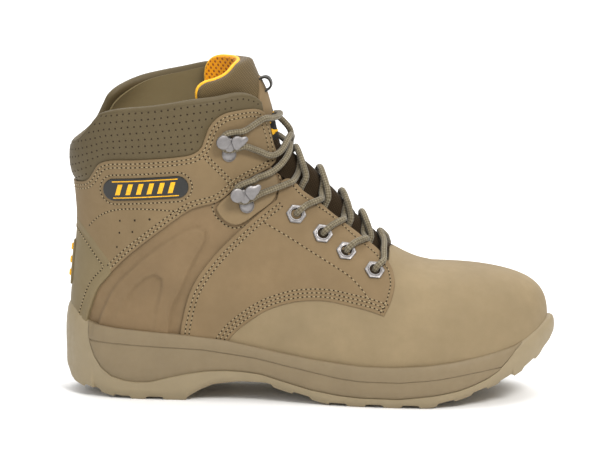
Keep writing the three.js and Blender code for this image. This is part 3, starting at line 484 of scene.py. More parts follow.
class Panel:
    """A sheet cut from the form by a closed path, with rounded edges, as a closed shell.
    outer and inner are offsets, numbers or functions of (s, t, distance to the edge)."""

    def __init__(self, path, outer, inner, edge=0.7, lattice=2.2, extra=(), rings=None, skip=None,
                 ripple=0.15):
        st = np.asarray(path, float)
        keep = [0]
        p = plane(st)
        for i in range(1, len(st)):
            if np.linalg.norm(p[i] - p[keep[-1]]) > SAME_POINT:
                keep.append(i)
        if np.linalg.norm(p[keep[-1]] - p[0]) < SAME_POINT:
            keep.pop()
        self.loop = st[keep]
        self.outline = plane(self.loop)
        self.outer, self.inner, self.edge, self.lattice = outer, inner, edge, lattice
        self.ripple, self.extra = ripple, extra
        self.rings = rings if rings is not None else [edge * 0.17, edge * 0.5, edge, edge * 2]
        closed = np.vstack([self.loop, self.loop[:1]])
        rim = close_points(form(closed[:, 0], closed[:, 1]))
        self.rim = rim if skip is None else rim[~skip(rim)]

    def distance(self, st):
        return nearest(form(st[:, 0], st[:, 1]), self.rim)

    def holds(self, st):
        return inside_poly(plane(st), self.outline)

    def offset(self, st, d=None):
        """The outside face's height over the form, rounded down to the edge."""
        d = self.distance(st) if d is None else d
        s, t = st[:, 0], st[:, 1]
        out = value_at(self.outer, s, t, d)
        if self.ripple:
            out = out + self.ripple * soft_noise(form(s, t), RIPPLE_SIZE) * step01(d / 6)
        if self.edge:
            k = np.clip(1 - d / self.edge, 0, 1)
            out = out - self.edge * (1 - np.sqrt(np.maximum(1 - k * k, 0)))
        return out

    def at(self, st):
        """Points on the outside face."""
        return on_form(st[:, 0], st[:, 1], self.offset(st))

    def edge_rings(self):
        """Rings of points that follow the edge, close together where it is rounded."""
        p = self.outline
        area = (p[:, 0] * np.roll(p[:, 1], -1) - np.roll(p[:, 0], -1) * p[:, 1]).sum()
        out = []
        for d in self.rings:
            q = moved_inside(self.loop, d, -1 if area > 0 else 1)
            q = q[np.isfinite(q).all(1)]
            q = q[self.holds(q)]
            q = q[self.distance(q) > d * 0.85]
            if len(q) > 2:
                out.append(q)
        return out

    def extra_lines(self, widest):
        """Points along the lines that the relief needs."""
        out = []
        for line in self.extra:
            q = np.asarray(line, float)
            q = q[self.holds(q)]
            if len(q):
                q = q[self.distance(q) > widest + 0.3]
            if len(q):
                out.append(q)
        return out

    def lattice_points(self, widest):
        """An even lattice over what is left of the sheet."""
        lo, hi = self.outline.min(0), self.outline.max(0)
        h = self.lattice
        gx = np.arange(lo[0], hi[0] + h, h)
        X, Y = np.meshgrid(gx, np.arange(lo[1], hi[1] + h, h), indexing="ij")
        Y = Y + (np.arange(len(gx)) % 2)[:, None] * h / 2
        lat = np.stack([X.ravel(), Y.ravel()], 1)
        lat = unplane(lat[inside_poly(lat, self.outline)])
        lat = lat[self.distance(lat) > widest + h * 0.45]
        if self.extra:
            lines = plane(np.vstack([np.asarray(line, float) for line in self.extra]))
            lat = lat[nearest(plane(lat), lines) > h * 0.4]
        return lat

    def triangles(self):
        """The flat sheet as points (s, t) and triangles that face outward."""
        widest = self.rings[-1] if self.rings else 0
        inner = self.edge_rings() + self.extra_lines(widest) + [self.lattice_points(widest)]
        st = np.vstack([self.loop] + inner)
        n = len(self.loop)
        edges = [(i, (i + 1) % n) for i in range(n)]
        co, _, tris, orig, _, _ = delaunay_2d_cdt([Vector(q) for q in plane(st)], edges, [], 0, 1e-4)
        co = np.array([tuple(c) for c in co])
        flat = unplane(co)
        for k, sources in enumerate(orig):
            if sources:
                flat[k] = st[sources[0]]
        tri = np.array(tris)
        tri = tri[inside_poly(co[tri].mean(1), self.outline)]
        a, b, c = (co[tri[:, k]] for k in range(3))
        turn = (b[:, 0] - a[:, 0]) * (c[:, 1] - a[:, 1]) - (b[:, 1] - a[:, 1]) * (c[:, 0] - a[:, 0])
        tri = np.where(turn[:, None] > 0, tri[:, ::-1], tri)[np.abs(turn) > 1e-7]
        used, index = np.unique(tri, return_inverse=True)
        return flat[used], index.reshape(tri.shape)

    def mesh(self):
        st, tri = self.triangles()
        s, t = st[:, 0], st[:, 1]
        d = self.distance(st)
        out = self.offset(st, d)
        inn = np.minimum(value_at(self.inner, s, t, d), out - THINNEST)
        m = len(st)
        open_edges = set()
        for f in tri.tolist():
            for e in zip(f, f[1:] + f[:1]):
                if e[::-1] in open_edges:
                    open_edges.remove(e[::-1])
                else:
                    open_edges.add(e)
        skirt = [(j, i, i + m, j + m) for i, j in sorted(open_edges)]
        faces = [tuple(f) for f in tri] + [tuple(f) for f in tri[:, ::-1] + m] + skirt
        return np.vstack([on_form(s, t, out), on_form(s, t, inn)]), faces

    def build(self, name, material, **k):
        verts, faces = self.mesh()
        return make(name, verts, faces, material, **k)


# ---------------------------------------------------------------- materials
PAINT = 0.56  # the studio light is bright, so every base colour is held down by this share


def srgb(r, g, b, paint=PAINT):
    def lin(c):
        c /= 255
        return paint * (c / 12.92 if c <= 0.04045 else ((c + 0.055) / 1.055) ** 2.4)
    return (lin(r), lin(g), lin(b), 1)


class Shader:
    """A principled material whose colour, roughness and bumps come from nodes over the object's place."""

    def __init__(self, name, color, rough=0.6, metal=0.0, sheen=0.0, specular=0.5):
        self.material = bpy.data.materials.new(name)
        self.material.use_nodes = True
        self.material.diffuse_color = color
        self.nodes, self.links = self.material.node_tree.nodes, self.material.node_tree.links
        self.bsdf = self.nodes["Principled BSDF"]
        for socket, value in (("Base Color", color), ("Roughness", rough), ("Metallic", metal),
                              ("Sheen Weight", sheen), ("Specular IOR Level", specular)):
            self.bsdf.inputs[socket].default_value = value
        self.coords = self.nodes.new("ShaderNodeTexCoord")
        self.place = self.coords.outputs["Object"]
        self.height = None

    def feed(self, socket, value):
        """Link an output to a socket, or set the socket to a constant."""
        if isinstance(value, bpy.types.NodeSocket):
            self.links.new(value, socket)
        else:
            socket.default_value = value

    def node(self, kind, inputs=None, **props):
        n = self.nodes.new("ShaderNode" + kind)
        for k, v in props.items():
            setattr(n, k, v)
        for k, v in (inputs or {}).items():
            self.feed(n.inputs[k], v)
        return n

    def split(self, source):
        """The X, Y and Z of a texture coordinate."""
        return self.node("SeparateXYZ", {"Vector": self.coords.outputs[source]}).outputs

    def noise(self, scale, detail=3.0, rough=0.55):
        inputs = {"Vector": self.place, "Scale": scale, "Detail": detail, "Roughness": rough}
        return self.node("TexNoise", inputs).outputs["Fac"]

    def cells(self, scale):
        return self.node("TexVoronoi", {"Vector": self.place, "Scale": scale}).outputs["Distance"]

    def ramp(self, fac, a, b, low=0.35, high=0.65):
        inputs = {"Value": fac, "From Min": low, "From Max": high, "To Min": a, "To Max": b}
        return self.node("MapRange", inputs).outputs["Result"]

    def mix(self, fac, a, b):
        n = self.nodes.new("ShaderNodeMix")
        n.data_type = "RGBA"
        for k, v in (("Factor", fac), ("A", a), ("B", b)):
            self.feed([s for s in n.inputs if s.name == k and (k == "Factor" or s.type == "RGBA")][0], v)
        return [s for s in n.outputs if s.type == "RGBA"][0]

    def math(self, op, a, b=0.0):
        n = self.node("Math", operation=op)
        self.feed(n.inputs[0], a)
        self.feed(n.inputs[1], b)
        return n.outputs["Value"]

    def wave_of(self, way, pitch=1.0):
        """A sine that repeats once in every pitch of the way."""
        return self.math("SINE", self.math("MULTIPLY", way, 2 * PI / pitch))

    def color(self, out):
        self.links.new(out, self.bsdf.inputs["Base Color"])

    def rough(self, out):
        self.links.new(out, self.bsdf.inputs["Roughness"])

    def bump(self, height, distance, strength=1.0):
        ins = {"Height": height, "Distance": distance, "Strength": strength}
        if self.height is not None:
            ins["Normal"] = self.height
        self.height = self.node("Bump", ins).outputs["Normal"]
        self.links.new(self.height, self.bsdf.inputs["Normal"])


def scaled(c, k):
    """A colour made lighter or darker."""
    return (min(c[0] * k, 1), min(c[1] * k, 1), min(c[2] * k, 1), 1)


def leather(name, color, rough, sheen, grain, mottle, nap=0.0):
    m = Shader(name, color, rough, sheen=sheen, specular=0.3)
    m.bsdf.inputs["Sheen Roughness"].default_value = 0.5
    wide = m.ramp(m.noise(24, 3, 0.6), 0, 1, 0.3, 0.7)
    fine = m.ramp(m.noise(150, 4, 0.65), 0, 1, 0.3, 0.7)
    base = m.mix(wide, scaled(color, 1 - mottle), scaled(color, 1 + mottle))
    base = m.mix(m.math("MULTIPLY", fine, 0.35), base, scaled(color, 1 - mottle * 1.3))
    m.color(base)
    m.rough(m.ramp(fine, rough - 0.05, rough + 0.07, 0, 1))
    m.bump(m.cells(1500), grain, 0.6)
    m.bump(m.noise(700, 4, 0.6), grain * 1.6, 0.5)
    if nap:
        m.bump(m.noise(60, 3, 0.6), nap, 0.5)
    return m.material


THREADS = 0.314     # Blender's wave texture makes this many bands per unit of scale


def cloth(name, color, rough, sheen, pitch, depth, mottle=0.12, tilt=0.0):
    """Woven cloth: crossing threads laid over the surface by its place."""
    m = Shader(name, color, rough, sheen=sheen, specular=0.2)
    turned_place = m.node("Mapping", {"Vector": m.place, "Rotation": (0.0, tilt, 0.0)}).outputs["Vector"]
    inputs = {"Vector": turned_place, "Scale": THREADS / pitch, "Distortion": 0.4, "Detail": 1.0,
              "Detail Scale": 2.0}
    a, b = (m.node("TexWave", inputs, bands_direction=way, wave_profile="SIN").outputs["Fac"] for way in "XZ")
    weave = m.math("MULTIPLY", a, b)
    tone = m.mix(weave, scaled(color, 0.62), scaled(color, 1.25))
    m.color(m.mix(m.ramp(m.noise(120, 3), 0, mottle * 2), tone, scaled(color, 0.7)))
    m.bump(weave, depth, 0.9)
    return m.material


def spacer_mesh(name, color, dark):
    """Knitted mesh: upright rows of long holes, each row half a step off the last; the holes are coloured
    darker, painted shade in the openings.
    """
    m = Shader(name, color, 0.85, sheen=0.2, specular=0.2)
    x, _, z = m.split("Object")
    leaning = m.math("ADD", x, m.math("MULTIPLY", z, 0.12))
    holes = m.ramp(m.math("MULTIPLY", m.wave_of(leaning, 0.0034), m.wave_of(z, 0.0042)), 0, 1, 0.25, 0.6)
    # the holes take the dark colour: painted shade in the mesh's openings
    m.color(m.mix(holes, color, dark))
    m.bump(m.math("MULTIPLY", holes, -1.0), 0.0006, 0.8)
    m.bump(m.noise(1500, 3), 0.0001, 0.6)
    return m.material


def rubber(name, color, rough=0.55, mottle=0.05):
    m = Shader(name, color, rough, specular=0.4)
    n = m.ramp(m.noise(60, 4, 0.6), 0, 1, 0.3, 0.7)
    m.color(m.mix(n, scaled(color, 1 - mottle), scaled(color, 1 + mottle)))
    m.rough(m.ramp(m.noise(300, 3), rough - 0.05, rough + 0.08))
    m.bump(m.noise(1800, 3, 0.6), 0.00003, 0.5)
    m.bump(m.noise(35, 2, 0.5), 0.0004, 0.25)
    return m.material


def metal(name, color, rough=0.38, scratch=0.00002):
    m = Shader(name, color, rough, metal=0.85, specular=0.5)
    n = m.ramp(m.noise(260, 4, 0.6), 0, 1, 0.3, 0.7)
    m.color(m.mix(n, scaled(color, 0.85), scaled(color, 1.08)))
    m.rough(m.ramp(m.noise(500, 3), rough - 0.07, rough + 0.12))
    m.bump(m.noise(900, 3), scratch, 0.5)
    return m.material


def plain(name, color, rough=0.8, sheen=0.0, grain=900, depth=0.00004, specular=0.3, contrast=0.12):
    m = Shader(name, color, rough, sheen=sheen, specular=specular)
    n = m.ramp(m.noise(grain, 3), 0, 1)
    m.color(m.mix(n, scaled(color, 1 - contrast), scaled(color, 1 + contrast)))
    m.bump(m.noise(grain * 1.4, 3), depth, 0.7)
    return m.material


MAT = {
    "vamp": leather("nubuck_vamp", srgb(172, 151, 115), 0.8, 0.04, 0.00004, 0.11, nap=0.0002),
    "quarter": leather("nubuck_quarter", srgb(156, 131, 95), 0.8, 0.04, 0.00004, 0.12, nap=0.0002),
    "side": leather("nubuck_side", srgb(152, 126, 91), 0.76, 0.04, 0.00004, 0.12, nap=0.0002),
    "ankle": leather("nubuck_ankle", srgb(153, 129, 93), 0.78, 0.04, 0.00004, 0.1, nap=0.0002),
    "olive": leather("smooth_backstay", srgb(150, 132, 95), 0.62, 0.02, 0.00003, 0.06),
    "collar": leather("smooth_collar", srgb(110, 95, 64), 0.6, 0.02, 0.00003, 0.06),
    "facing": leather("smooth_facing", srgb(156, 132, 95), 0.62, 0.02, 0.00003, 0.06),
    "lining": leather("lining_cloth", srgb(146, 129, 90), 0.75, 0.05, 0.00003, 0.05),
    "outsole": rubber("outsole_rubber", srgb(178, 160, 126)),
    "midsole": rubber("midsole_foam", srgb(155, 136, 104), 0.62),
    "metal": metal("satin_nickel", srgb(172, 168, 167), 0.46),
    "steel": metal("pressed_steel", srgb(190, 192, 195)),
    "brown": cloth("brown_cloth", srgb(69, 53, 31), 0.95, 0.1, 0.0012, 0.0002, 0.15, tilt=0.5),
    "tongue": cloth("tongue_cloth", srgb(128, 107, 70), 0.9, 0.15, 0.0011, 0.00012, 0.1, tilt=0.6),
    # the second colour is the painted shade in the mesh's holes
    "yellow": spacer_mesh("yellow_mesh", srgb(238, 156, 10, 0.95), srgb(192, 102, 2, 0.7)),
    "trim": plain("yellow_binding", srgb(255, 188, 40, 0.85), 0.75, 0.1, 900, 0.00006),
    "thread": plain("thread", srgb(190, 168, 126), 0.7, 0.2, 2500, 0.00005),
    # a dark plate of this colour stands in each needle hole, perforation, vent and eyelet bore: painted shade
    "hole": plain("painted_hole_shade", srgb(58, 44, 26), 0.95, 0.0, 2500, 0.00002),
    "badge": plain("badge_black", srgb(34, 34, 30), 0.42, 0.0, 500, 0.00002, 0.5),
    "badge_print": plain("badge_print", srgb(250, 186, 20, 0.8), 0.5, 0.0, 500, 0.00002, 0.4),
    "aglet": plain("aglet_plastic", srgb(70, 62, 48), 0.35, 0.0, 300, 0.00001, 0.5),
    "board": plain("fibre_board", srgb(186, 168, 128), 0.95, 0.0, 400, 0.0001),
    "footbed": plain("footbed_cloth", srgb(52, 52, 54), 0.95, 0.3, 1200, 0.0001),
    "webbing": cloth("webbing", srgb(70, 66, 58), 0.9, 0.2, 0.0008, 0.0002),
    "label_dark": plain("label_dark", srgb(46, 44, 40), 0.85, 0.1, 1500, 0.00006),
    "floor": plain("floor", (0.9, 0.9, 0.9, 1), 0.9, 0.0, 20, 0.0, 0.2, 0.004),
}


def lace_material():
    m = Shader("lace_braid", srgb(136, 121, 92), 0.9, sheen=0.15, specular=0.2)
    around, along, _ = m.split("UV")
    up, down = (m.wave_of(m.math(op, along, around)) for op in ("ADD", "SUBTRACT"))
    braid = m.ramp(m.math("MULTIPLY", up, down), 0, 1, -0.7, 0.7)
    # the braid's knobs lighter and the grooves between them darker, in step with its bumps: painted highlight
    # and shade
    c = m.mix(braid, srgb(112, 100, 77), srgb(176, 164, 137))
    m.color(m.mix(m.ramp(m.noise(250, 3), 0, 0.5), c, srgb(102, 91, 68)))
    m.bump(braid, 0.0002, 0.9)
    return m.material


MAT["lace"] = lace_material()

# ---------------------------------------------------------------- camera, light, floor
VIEW_AZ, VIEW_EL = math.radians(4), math.radians(10)
DISTANCE, FRAME_WIDTH = 2600.0, 379.0     # millimetres; the frame's width where the boot stands
AIM_RIGHT, AIM_UP, AIM_FORWARD = 148.77, 103.1, -28.0     # the place aimed at, along the camera's axes
SENSOR = 36
right = np.array([math.cos(VIEW_AZ), math.sin(VIEW_AZ), 0])
level = np.array([-math.sin(VIEW_AZ), math.cos(VIEW_AZ), 0])
forward = level * math.cos(VIEW_EL) - np.array([0, 0, math.sin(VIEW_EL)])
up = np.cross(right, forward)
target = AIM_RIGHT * right + AIM_UP * up + AIM_FORWARD * forward
lens = bpy.data.cameras.new("camera")
lens.sensor_width = SENSOR
lens.lens = SENSOR * DISTANCE / FRAME_WIDTH
lens.clip_end = 50
camera = bpy.data.objects.new("camera", lens)
camera.location = row(target - forward * DISTANCE)
camera.rotation_euler = Vector(forward).to_track_quat("-Z", "Y").to_euler()
bpy.context.scene.collection.objects.link(camera)
bpy.context.scene.camera = camera


def area_light(name, place, aim, size, power, color=(1, 1, 1)):
    """A soft light at a place in metres, turned to what it is aimed at."""
    data = bpy.data.lights.new(name, "AREA")
    data.shape = "RECTANGLE"
    data.size, data.size_y = size
    data.energy = power
    data.color = color
    obj = bpy.data.objects.new(name, data)
    obj.location = place
    obj.rotation_euler = (Vector(aim) - Vector(place)).to_track_quat("-Z", "Y").to_euler()
    bpy.context.scene.collection.objects.link(obj)


area_light("key", (0.9, -1.3, 1.5), (0.03, 0, 0.08), (0.8, 0.6), 34, (1, 0.98, 0.95))
area_light("fill", (-1.2, -1.2, 0.8), (0, 0, 0.08), (1.2, 1.2), 9, (0.97, 0.985, 1))
area_light("top", (0.1, 0.35, 1.9), (0, 0, 0.05), (1.6, 1.6), 22)
area_light("behind", (0, 2.3, 2.2), (0, 1.9, 0), (5, 2.5), 70)
world = bpy.data.worlds.new("studio")
world.use_nodes = True
world.node_tree.nodes["Background"].inputs["Color"].default_value = (1, 1, 1, 1)
world.node_tree.nodes["Background"].inputs["Strength"].default_value = 0.55
bpy.context.scene.world = world
bpy.context.scene.view_settings.view_transform = "Standard"

FLOOR = 6000
floor = make("floor", [[-FLOOR, -FLOOR, 0], [FLOOR, -FLOOR, 0], [FLOOR, FLOOR, 0], [-FLOOR, FLOOR, 0]],
             [(0, 1, 2, 3)], MAT["floor"], body=None, sharp=0)


# ---------------------------------------------------------------- cords
def frame_at(s, t, side, off=0.0):
    """Axes of a fitting on the surface: z outward, y up along the leather, x the third; and its place."""
    a = side * abs(t)
    z = normal(s, a)[0]
    y = (form(s + 0.05, a) - form(s - 0.05, a))[0]
    y = unit(y - z * (y @ z))
    return np.stack([np.cross(y, z), y, z]), form(s, a)[0] + z * off


def local(axes, p):
    """Points of a fitting's own axes, moved to its place."""
    rot, origin = axes
    return origin + np.atleast_2d(p) @ rot


# The fittings stand at [s, |t|]; the lace's edges and turns are given by the eyelet row they belong to.
EYELET_SPOTS = [[2.5, 0.73], [3.8, 0.72], [4.9, 0.72], [5.9, 0.73]]
HOOK_SPOTS = [[8.5, 0.9], [11.7, 0.98]]
HOOK_LIFT = [2.8, 0.7]
RIVET_DROP = 8.8
# s and |t| where a strand comes out from under the quarter's edge, s where one goes in over it, and the
# way along s that a strand takes across the ridge
UNDER_EDGE = [2.85, 4.05, 5.2, 6.2]
EDGE_TURN = [0.37, 0.385, 0.41, 0.45]
OVER_EDGE = [3.12, 4.42, 5.46, 6.7]
OVER_RISE = [1.05, 1.0, 0.85, 1.5]
# [forward, up, outward] through an eyelet from the outside in, and [forward, up] round a hook
EYELET_PASS = [[7.5, -1.6, 3.9], [4.2, -0.9, 4.7], [1.2, -0.2, 3.2], [0.4, 0, 0.6], [0.4, 0, -0.9],
               [1.2, 0.3, -3.5], [4.2, 1, -5.2]]
HOOK_TURN = [[9, -4.2], [3.4, -5.1], [-2.4, -4.9], [-5, -1.6], [-4.7, 2.4], [-1.6, 5], [3, 5.4], [9, 5.4]]
LACE_OVER_BASE = 3.7     # the lace's middle over a hook's base


def lace_point(p):
    """A point of the lace from [s, t, side, height over the form]."""
    s, t, side, off = p
    return on_form(s, side * t, off)[0]


def hook_axes(k, side):
    return frame_at(*HOOK_SPOTS[k], side, HOOK_LIFT[k])


def hook_point(k, side, fwd, rise, off):
    return local(hook_axes(k, side), [-side * fwd, rise, off])[0]


def eyelet_pass(i, side):
    return list(local(frame_at(*EYELET_SPOTS[i], side), np.array(EYELET_PASS) * [-side, 1, 1]))


def t_of_y(s, y, side):
    """|t| of the places y millimetres out from the ridge."""
    half = section(s)[:, 4 if side < 0 else 5]
    return np.arcsin(np.clip((np.asarray(y) / half) ** (1 / np.interp(s, *SQUARENESS)), 0, 1))


def ridge_point(s, y, side, off):
    """A place over the tongue, y to the side of its ridge."""
    return on_form(s, side * t_of_y(np.array([s]), y, side), off)[0]


def out_of_edge(i, side, lift):
    """Out from under the quarter's edge; lift raises the strand that lies over the other one."""
    return [lace_point(p) for p in ([UNDER_EDGE[i] - 0.04, EDGE_TURN[i] + 0.04, side, -5.3],
                                    [UNDER_EDGE[i] + 0.02, EDGE_TURN[i] - 0.06, side, -3.7 + lift])]


def over_strand(i):
    """Out of the lateral edge and over the ridge, above the other strand, to the medial side."""
    e, rise = UNDER_EDGE[i], OVER_RISE[i]
    return out_of_edge(i, -1, 0.8) + [
        ridge_point(e + 0.07, 11, -1, 0.2), ridge_point(e + 0.33 * rise, 7.5, -1, 2.4),
        ridge_point(e + 0.68 * rise, 4, -1, 4.0), ridge_point(e + 0.92 * rise, 0.01, -1, 4.5),
        ridge_point(e + rise, 6, 1, 4.2)]


def under_strand(i):
    """Out of the medial edge, close over the ridge, and out over the lateral edge."""
    e, rise = UNDER_EDGE[i], OVER_RISE[i]
    return out_of_edge(i, 1, 0.2) + [
        ridge_point(e + 0.3 * rise, 6.5, 1, -1.4), ridge_point(e + 0.62 * rise, 0.01, 1, 1.8),
        ridge_point(e + 0.48 * rise, 4, -1, -0.2), ridge_point(e + 0.34 * rise, 8, -1, -2.9),
        lace_point([OVER_EDGE[i] - 0.02, EDGE_TURN[i] - 0.02, -1, 0.1]),
        lace_point([OVER_EDGE[i] + 0.06, EDGE_TURN[i] + 0.06, -1, 3.5])]


def round_hook(k, side):
    return [hook_point(k, side, f, u, LACE_OVER_BASE) for f, u in HOOK_TURN]


BETWEEN_HOOKS = {
    -1: [[8.55, 0.74, -1, 4.4], [7.97, 0.57, -1, 4.5], [7.8, 0.38, -1, 4.4], [7.95, 0.2, -1, 4.2],
         [8.3, 0.001, 1, 3.4], [8.85, 0.22, 1, 3.4], [9.8, 0.45, 1, 4.4]],
    1: [[8.1, 0.5, 1, 5], [8.6, 0.22, 1, 7.6], [9.1, 0.001, 1, 6.6], [8.85, 0.17, -1, 5.2],
        [8.6, 0.33, -1, 4.4], [8.95, 0.48, -1, 4.4], [10.1, 0.66, -1, 4.4]],
}


def lace_half(start):
    """Half of the held lace, from the bar over the lowest eyelets up to the last hook."""
    points = [lace_point(p) for p in ([2.46, 0.17, start, 2.5], [2.38, 0.4, start, 3.4])]
    side = start
    for i in range(4):
        points += eyelet_pass(i, side) + (over_strand(i) if side < 0 else under_strand(i))
        side = -side
    return points + round_hook(0, side) + [lace_point(p) for p in BETWEEN_HOOKS[side]] + round_hook(1, -side)


half_a = lace_half(-1)
half_b = lace_half(1)
half_a.append(hook_point(1, 1, 13, 4.6, 4.4))
half_b += [lace_point(p) for p in ([11.68, 0.49, -1, 4.4], [11.35, 0.34, -1, 4.2], [11.1, 0.17, -1, 3.8],
                                   [11.02, 0.001, 1, 3.4], [11.05, 0.18, 1, 4.2], [11.15, 0.36, 1, 5.2])]
held_route = half_a[::-1] + [lace_point([2.72, 0.001, 1, 3.2])] + half_b
FREE_END = {
    "a": [(126.3, 42.4, 161), (125.6, 47, 148), (122, 47.5, 128), (119, 47, 100), (118, 46, 72),
          (119, 45, 50), (121, 45, 34)],
    "b": [(141, 24, 164), (141, 30, 152), (139, 35, 130), (136, 39, 104), (135.5, 42, 78), (137.5, 43.5, 58),
          (139, 44.5, 46)],
}


def spline(points, step):
    """Centripetal curve through the points, as close points about step apart."""
    p = run_on(np.array(points, float))
    out = []
    for a, b, c, e in zip(p[:-3], p[1:-2], p[2:-1], p[3:]):
        count = max(2, int(round(np.linalg.norm(c - b) / step)))
        out.append(centripetal(a, b, c, e, count))
    return np.vstack(out + [p[-2:-1]])


def sweep(path, radius, sides):
    """A capped tube along a path; radius is a number or a function of the way run and the angle."""
    p = np.asarray(path, float)
    T = unit(np.gradient(p, axis=0))
    u = np.cross(T[0], (0, 0, 1))
    U = np.empty_like(p)
    for i in range(len(p)):
        u = unit(u - T[i] * (u @ T[i]))
        U[i] = u
    run = run_of(p)
    angle = np.linspace(0, 2 * PI, sides, endpoint=False)
    r = radius(run[:, None], angle) if callable(radius) else np.full((len(p), sides), float(radius))
    spokes = np.cos(angle)[:, None] * U[:, None] + np.sin(angle)[:, None] * np.cross(T, U)[:, None]
    verts = (p[:, None] + spokes * r[..., None]).reshape(-1, 3)
    uv = np.stack(np.broadcast_arrays(np.arange(sides) / sides, run[:, None]), -1).reshape(-1, 2)
    faces = bands(len(p), sides)
    m, last = len(verts), len(verts) - sides
    for j in range(sides):
        k = (j + 1) % sides
        faces += [(m, k, j), (m + 1, last + j, last + k)]
    return np.vstack([verts, p[0], p[-1]]), faces, np.vstack([uv, [0, 0], [0, run[-1]]])


LACE_R = 2.0
LACE_SIDES = 16
LACE_STEP = 0.8
BRAID_PITCH, BRAID_STRANDS = 3.2, 4


def braided(run, angle):
    """The lace's radius, with the knobs of its braid."""
    way, turn = 2 * PI * run / BRAID_PITCH, BRAID_STRANDS * angle
    return LACE_R * (0.97 + 0.07 * np.sin(turn + way) * np.sin(turn - way))


def lace_tube(name, path, **k):
    """A piece of lace with its braid laid out in the texture coordinates."""
    verts, faces, uv = sweep(path, braided, LACE_SIDES)
    uv = uv * [BRAID_STRANDS, 1 / BRAID_PITCH]
    return make(name, verts, faces, MAT["lace"], slot="lace", uv=uv, sharp=0, **k)


held = spline(held_route, LACE_STEP)
lace_tube("lace_held", held, replaces=["lace"])


def turned(profile, sides, ring=False):
    """A lathe about the local z axis; profile is [radius, height]. A ring's profile is closed."""
    a = np.linspace(0, 2 * PI, sides, endpoint=False)
    rings = [np.stack([r * np.cos(a), r * np.sin(a), np.full(sides, z)], 1) for r, z in profile]
    if ring:
        return np.vstack(rings), bands(len(rings), sides, wrap=True)
    return drum(rings)


def axes_along(direction, origin):
    """Axes of a fitting with z along a direction, and its place."""
    z = unit(np.asarray(direction, float))
    x = unit(np.cross((0.1, 1, 0.2), z))
    return np.stack([x, np.cross(z, x), z]), np.asarray(origin, float)


AGLET = [[1.0, 0], [1.55, 0.25], [1.7, 0.8], [1.7, 6.5], [1.62, 6.8], [1.62, 7.2], [1.7, 7.5],
         [1.7, 18.4], [1.55, 19.4], [1.1, 19.9], [0.5, 20]]
AGLET_SIDES = 16
AGLET_GAP = 0.3
for key, half in (("a", half_a), ("b", half_b)):
    way = unit(half[-1] - half[-2])
    points = [half[-1] + way * 0.6, half[-1] + way * 4] + [np.array(p, float) for p in FREE_END[key]]
    path = spline(points, LACE_STEP)
    tube = lace_tube(f"lace_free_{key}", path, replaces=[f"lace_end_{key}"])
    end_way = unit(path[-1] - path[-3])
    v, f = turned(AGLET, AGLET_SIDES)
    v = local(axes_along(end_way, path[-1] + AGLET_GAP * end_way), v)
    tip = make(f"aglet_tip_{key}", v, f, MAT["aglet"], slot="aglet", replaces=[f"aglet_{key}"])

# ---------------------------------------------------------------- leather panels
THICK_IN = -1.5
LEDGE_IN = 0.08
PANEL_EDGE = 0.7
SIDE_FIELD = [[22, 42], [26.8, 56.1], [35.2, 72.4], [47.1, 84.6], [59, 95], [74.3, 105.5], [81, 109.2],
              [87.9, 110.4], [92.3, 107.8], [92.4, 102.2], [87.9, 93.6], [81, 79.9], [76, 67.8],
              [71.7, 59.2], [69, 40]]
SIDE_MIDDLE = [[38, 52], [45.4, 67.8], [50.5, 73.6], [55.6, 78], [60.7, 79.7], [64.3, 77.2], [64.5, 72],
               [62.4, 63.5], [59.9, 53.2], [59, 40]]


def closed(points, step=1.3):
    """A closed side-view outline as close points, its corners kept."""
    p = np.asarray(points, float)
    return dense(np.vstack([p, p[:1]]), step, smooth=False)


def ledge(line, width=7.0):
    """An inside offset that steps up over a neighbour that is tucked under this panel along a line."""
    near = close_points(np.vstack([form(q[:, 0], q[:, 1]) for q in line]))

    def value(s, t, d):
        return LEDGE_IN + (THICK_IN - LEDGE_IN) * step01((nearest(form(s, t), near) - width) / 2.5)
    return value


def bump_at(x, middle, width):
    """A soft ridge across x, 1 high."""
    return np.exp(-((x - middle) / width) ** 2)


panels = {}


def leather_panel(kind, side, loop, outer, inner, name, material, slot, node, **k):
    """Makes a panel of one side and keeps it, so that the stitching can be laid on it."""
    word = SIDES[side]
    panels[kind, side] = Panel(signed(loop, side), outer, inner, **k)
    panels[kind, side].build(f"{name}_{word}", MAT[material], slot=slot, replaces=[f"{node}_{word}"])


def side_panel(side):
    """Lies lowest, tucked under the ankle panel, the quarter and the backstay; its relief is pressed in."""
    front = shift(QUARTER_REAR[1:], 4)[::-1]
    outline = join(shift(DIAGONAL, -4), shift(BACKSTAY_EDGE[5:], -4), [[13, 30], [80, 30]], front,
                   [[140, 132], [139, 141]])
    relief_lines, fields = [], []
    for line in (dense(SIDE_FIELD, 1.2), dense(SIDE_MIDDLE, 1.2)):
        st = signed(trace(line, None), side)
        fields.append((close_points(form(st[:, 0], st[:, 1]), 0.6), plane(st)))
        for d in (-3, -1.8, -0.9, 0, 0.9, 1.8, 3):
            relief_lines.append(signed(trace(shift(line, d, smooth=False), None), side))

    def outer(s, t, d):
        p, q = form(s, t), plane(np.stack([s, t], 1))
        field, middle = (nearest(p, near) * np.where(inside_poly(q, poly), 1, -1) for near, poly in fields)
        pressed = step01((middle + 1.2) / 2.2) * step01((p[:, 2] - 50) / 20)
        raised = 1.8 * step01((field + 1.5) / 3) + 0.6 * bump_at(field, 1.8, 1.5)
        return raised - 1.3 - 1.4 * pressed + 0.5 * bump_at(middle, -2.2, 1.4)

    leather_panel("side", side, keep_apart(trace(closed(outline)), 13, 125, 150), outer, -2.6,
                  "side_leather", "side", "leather_tan", "side_panel", edge=0.5, extra=relief_lines)


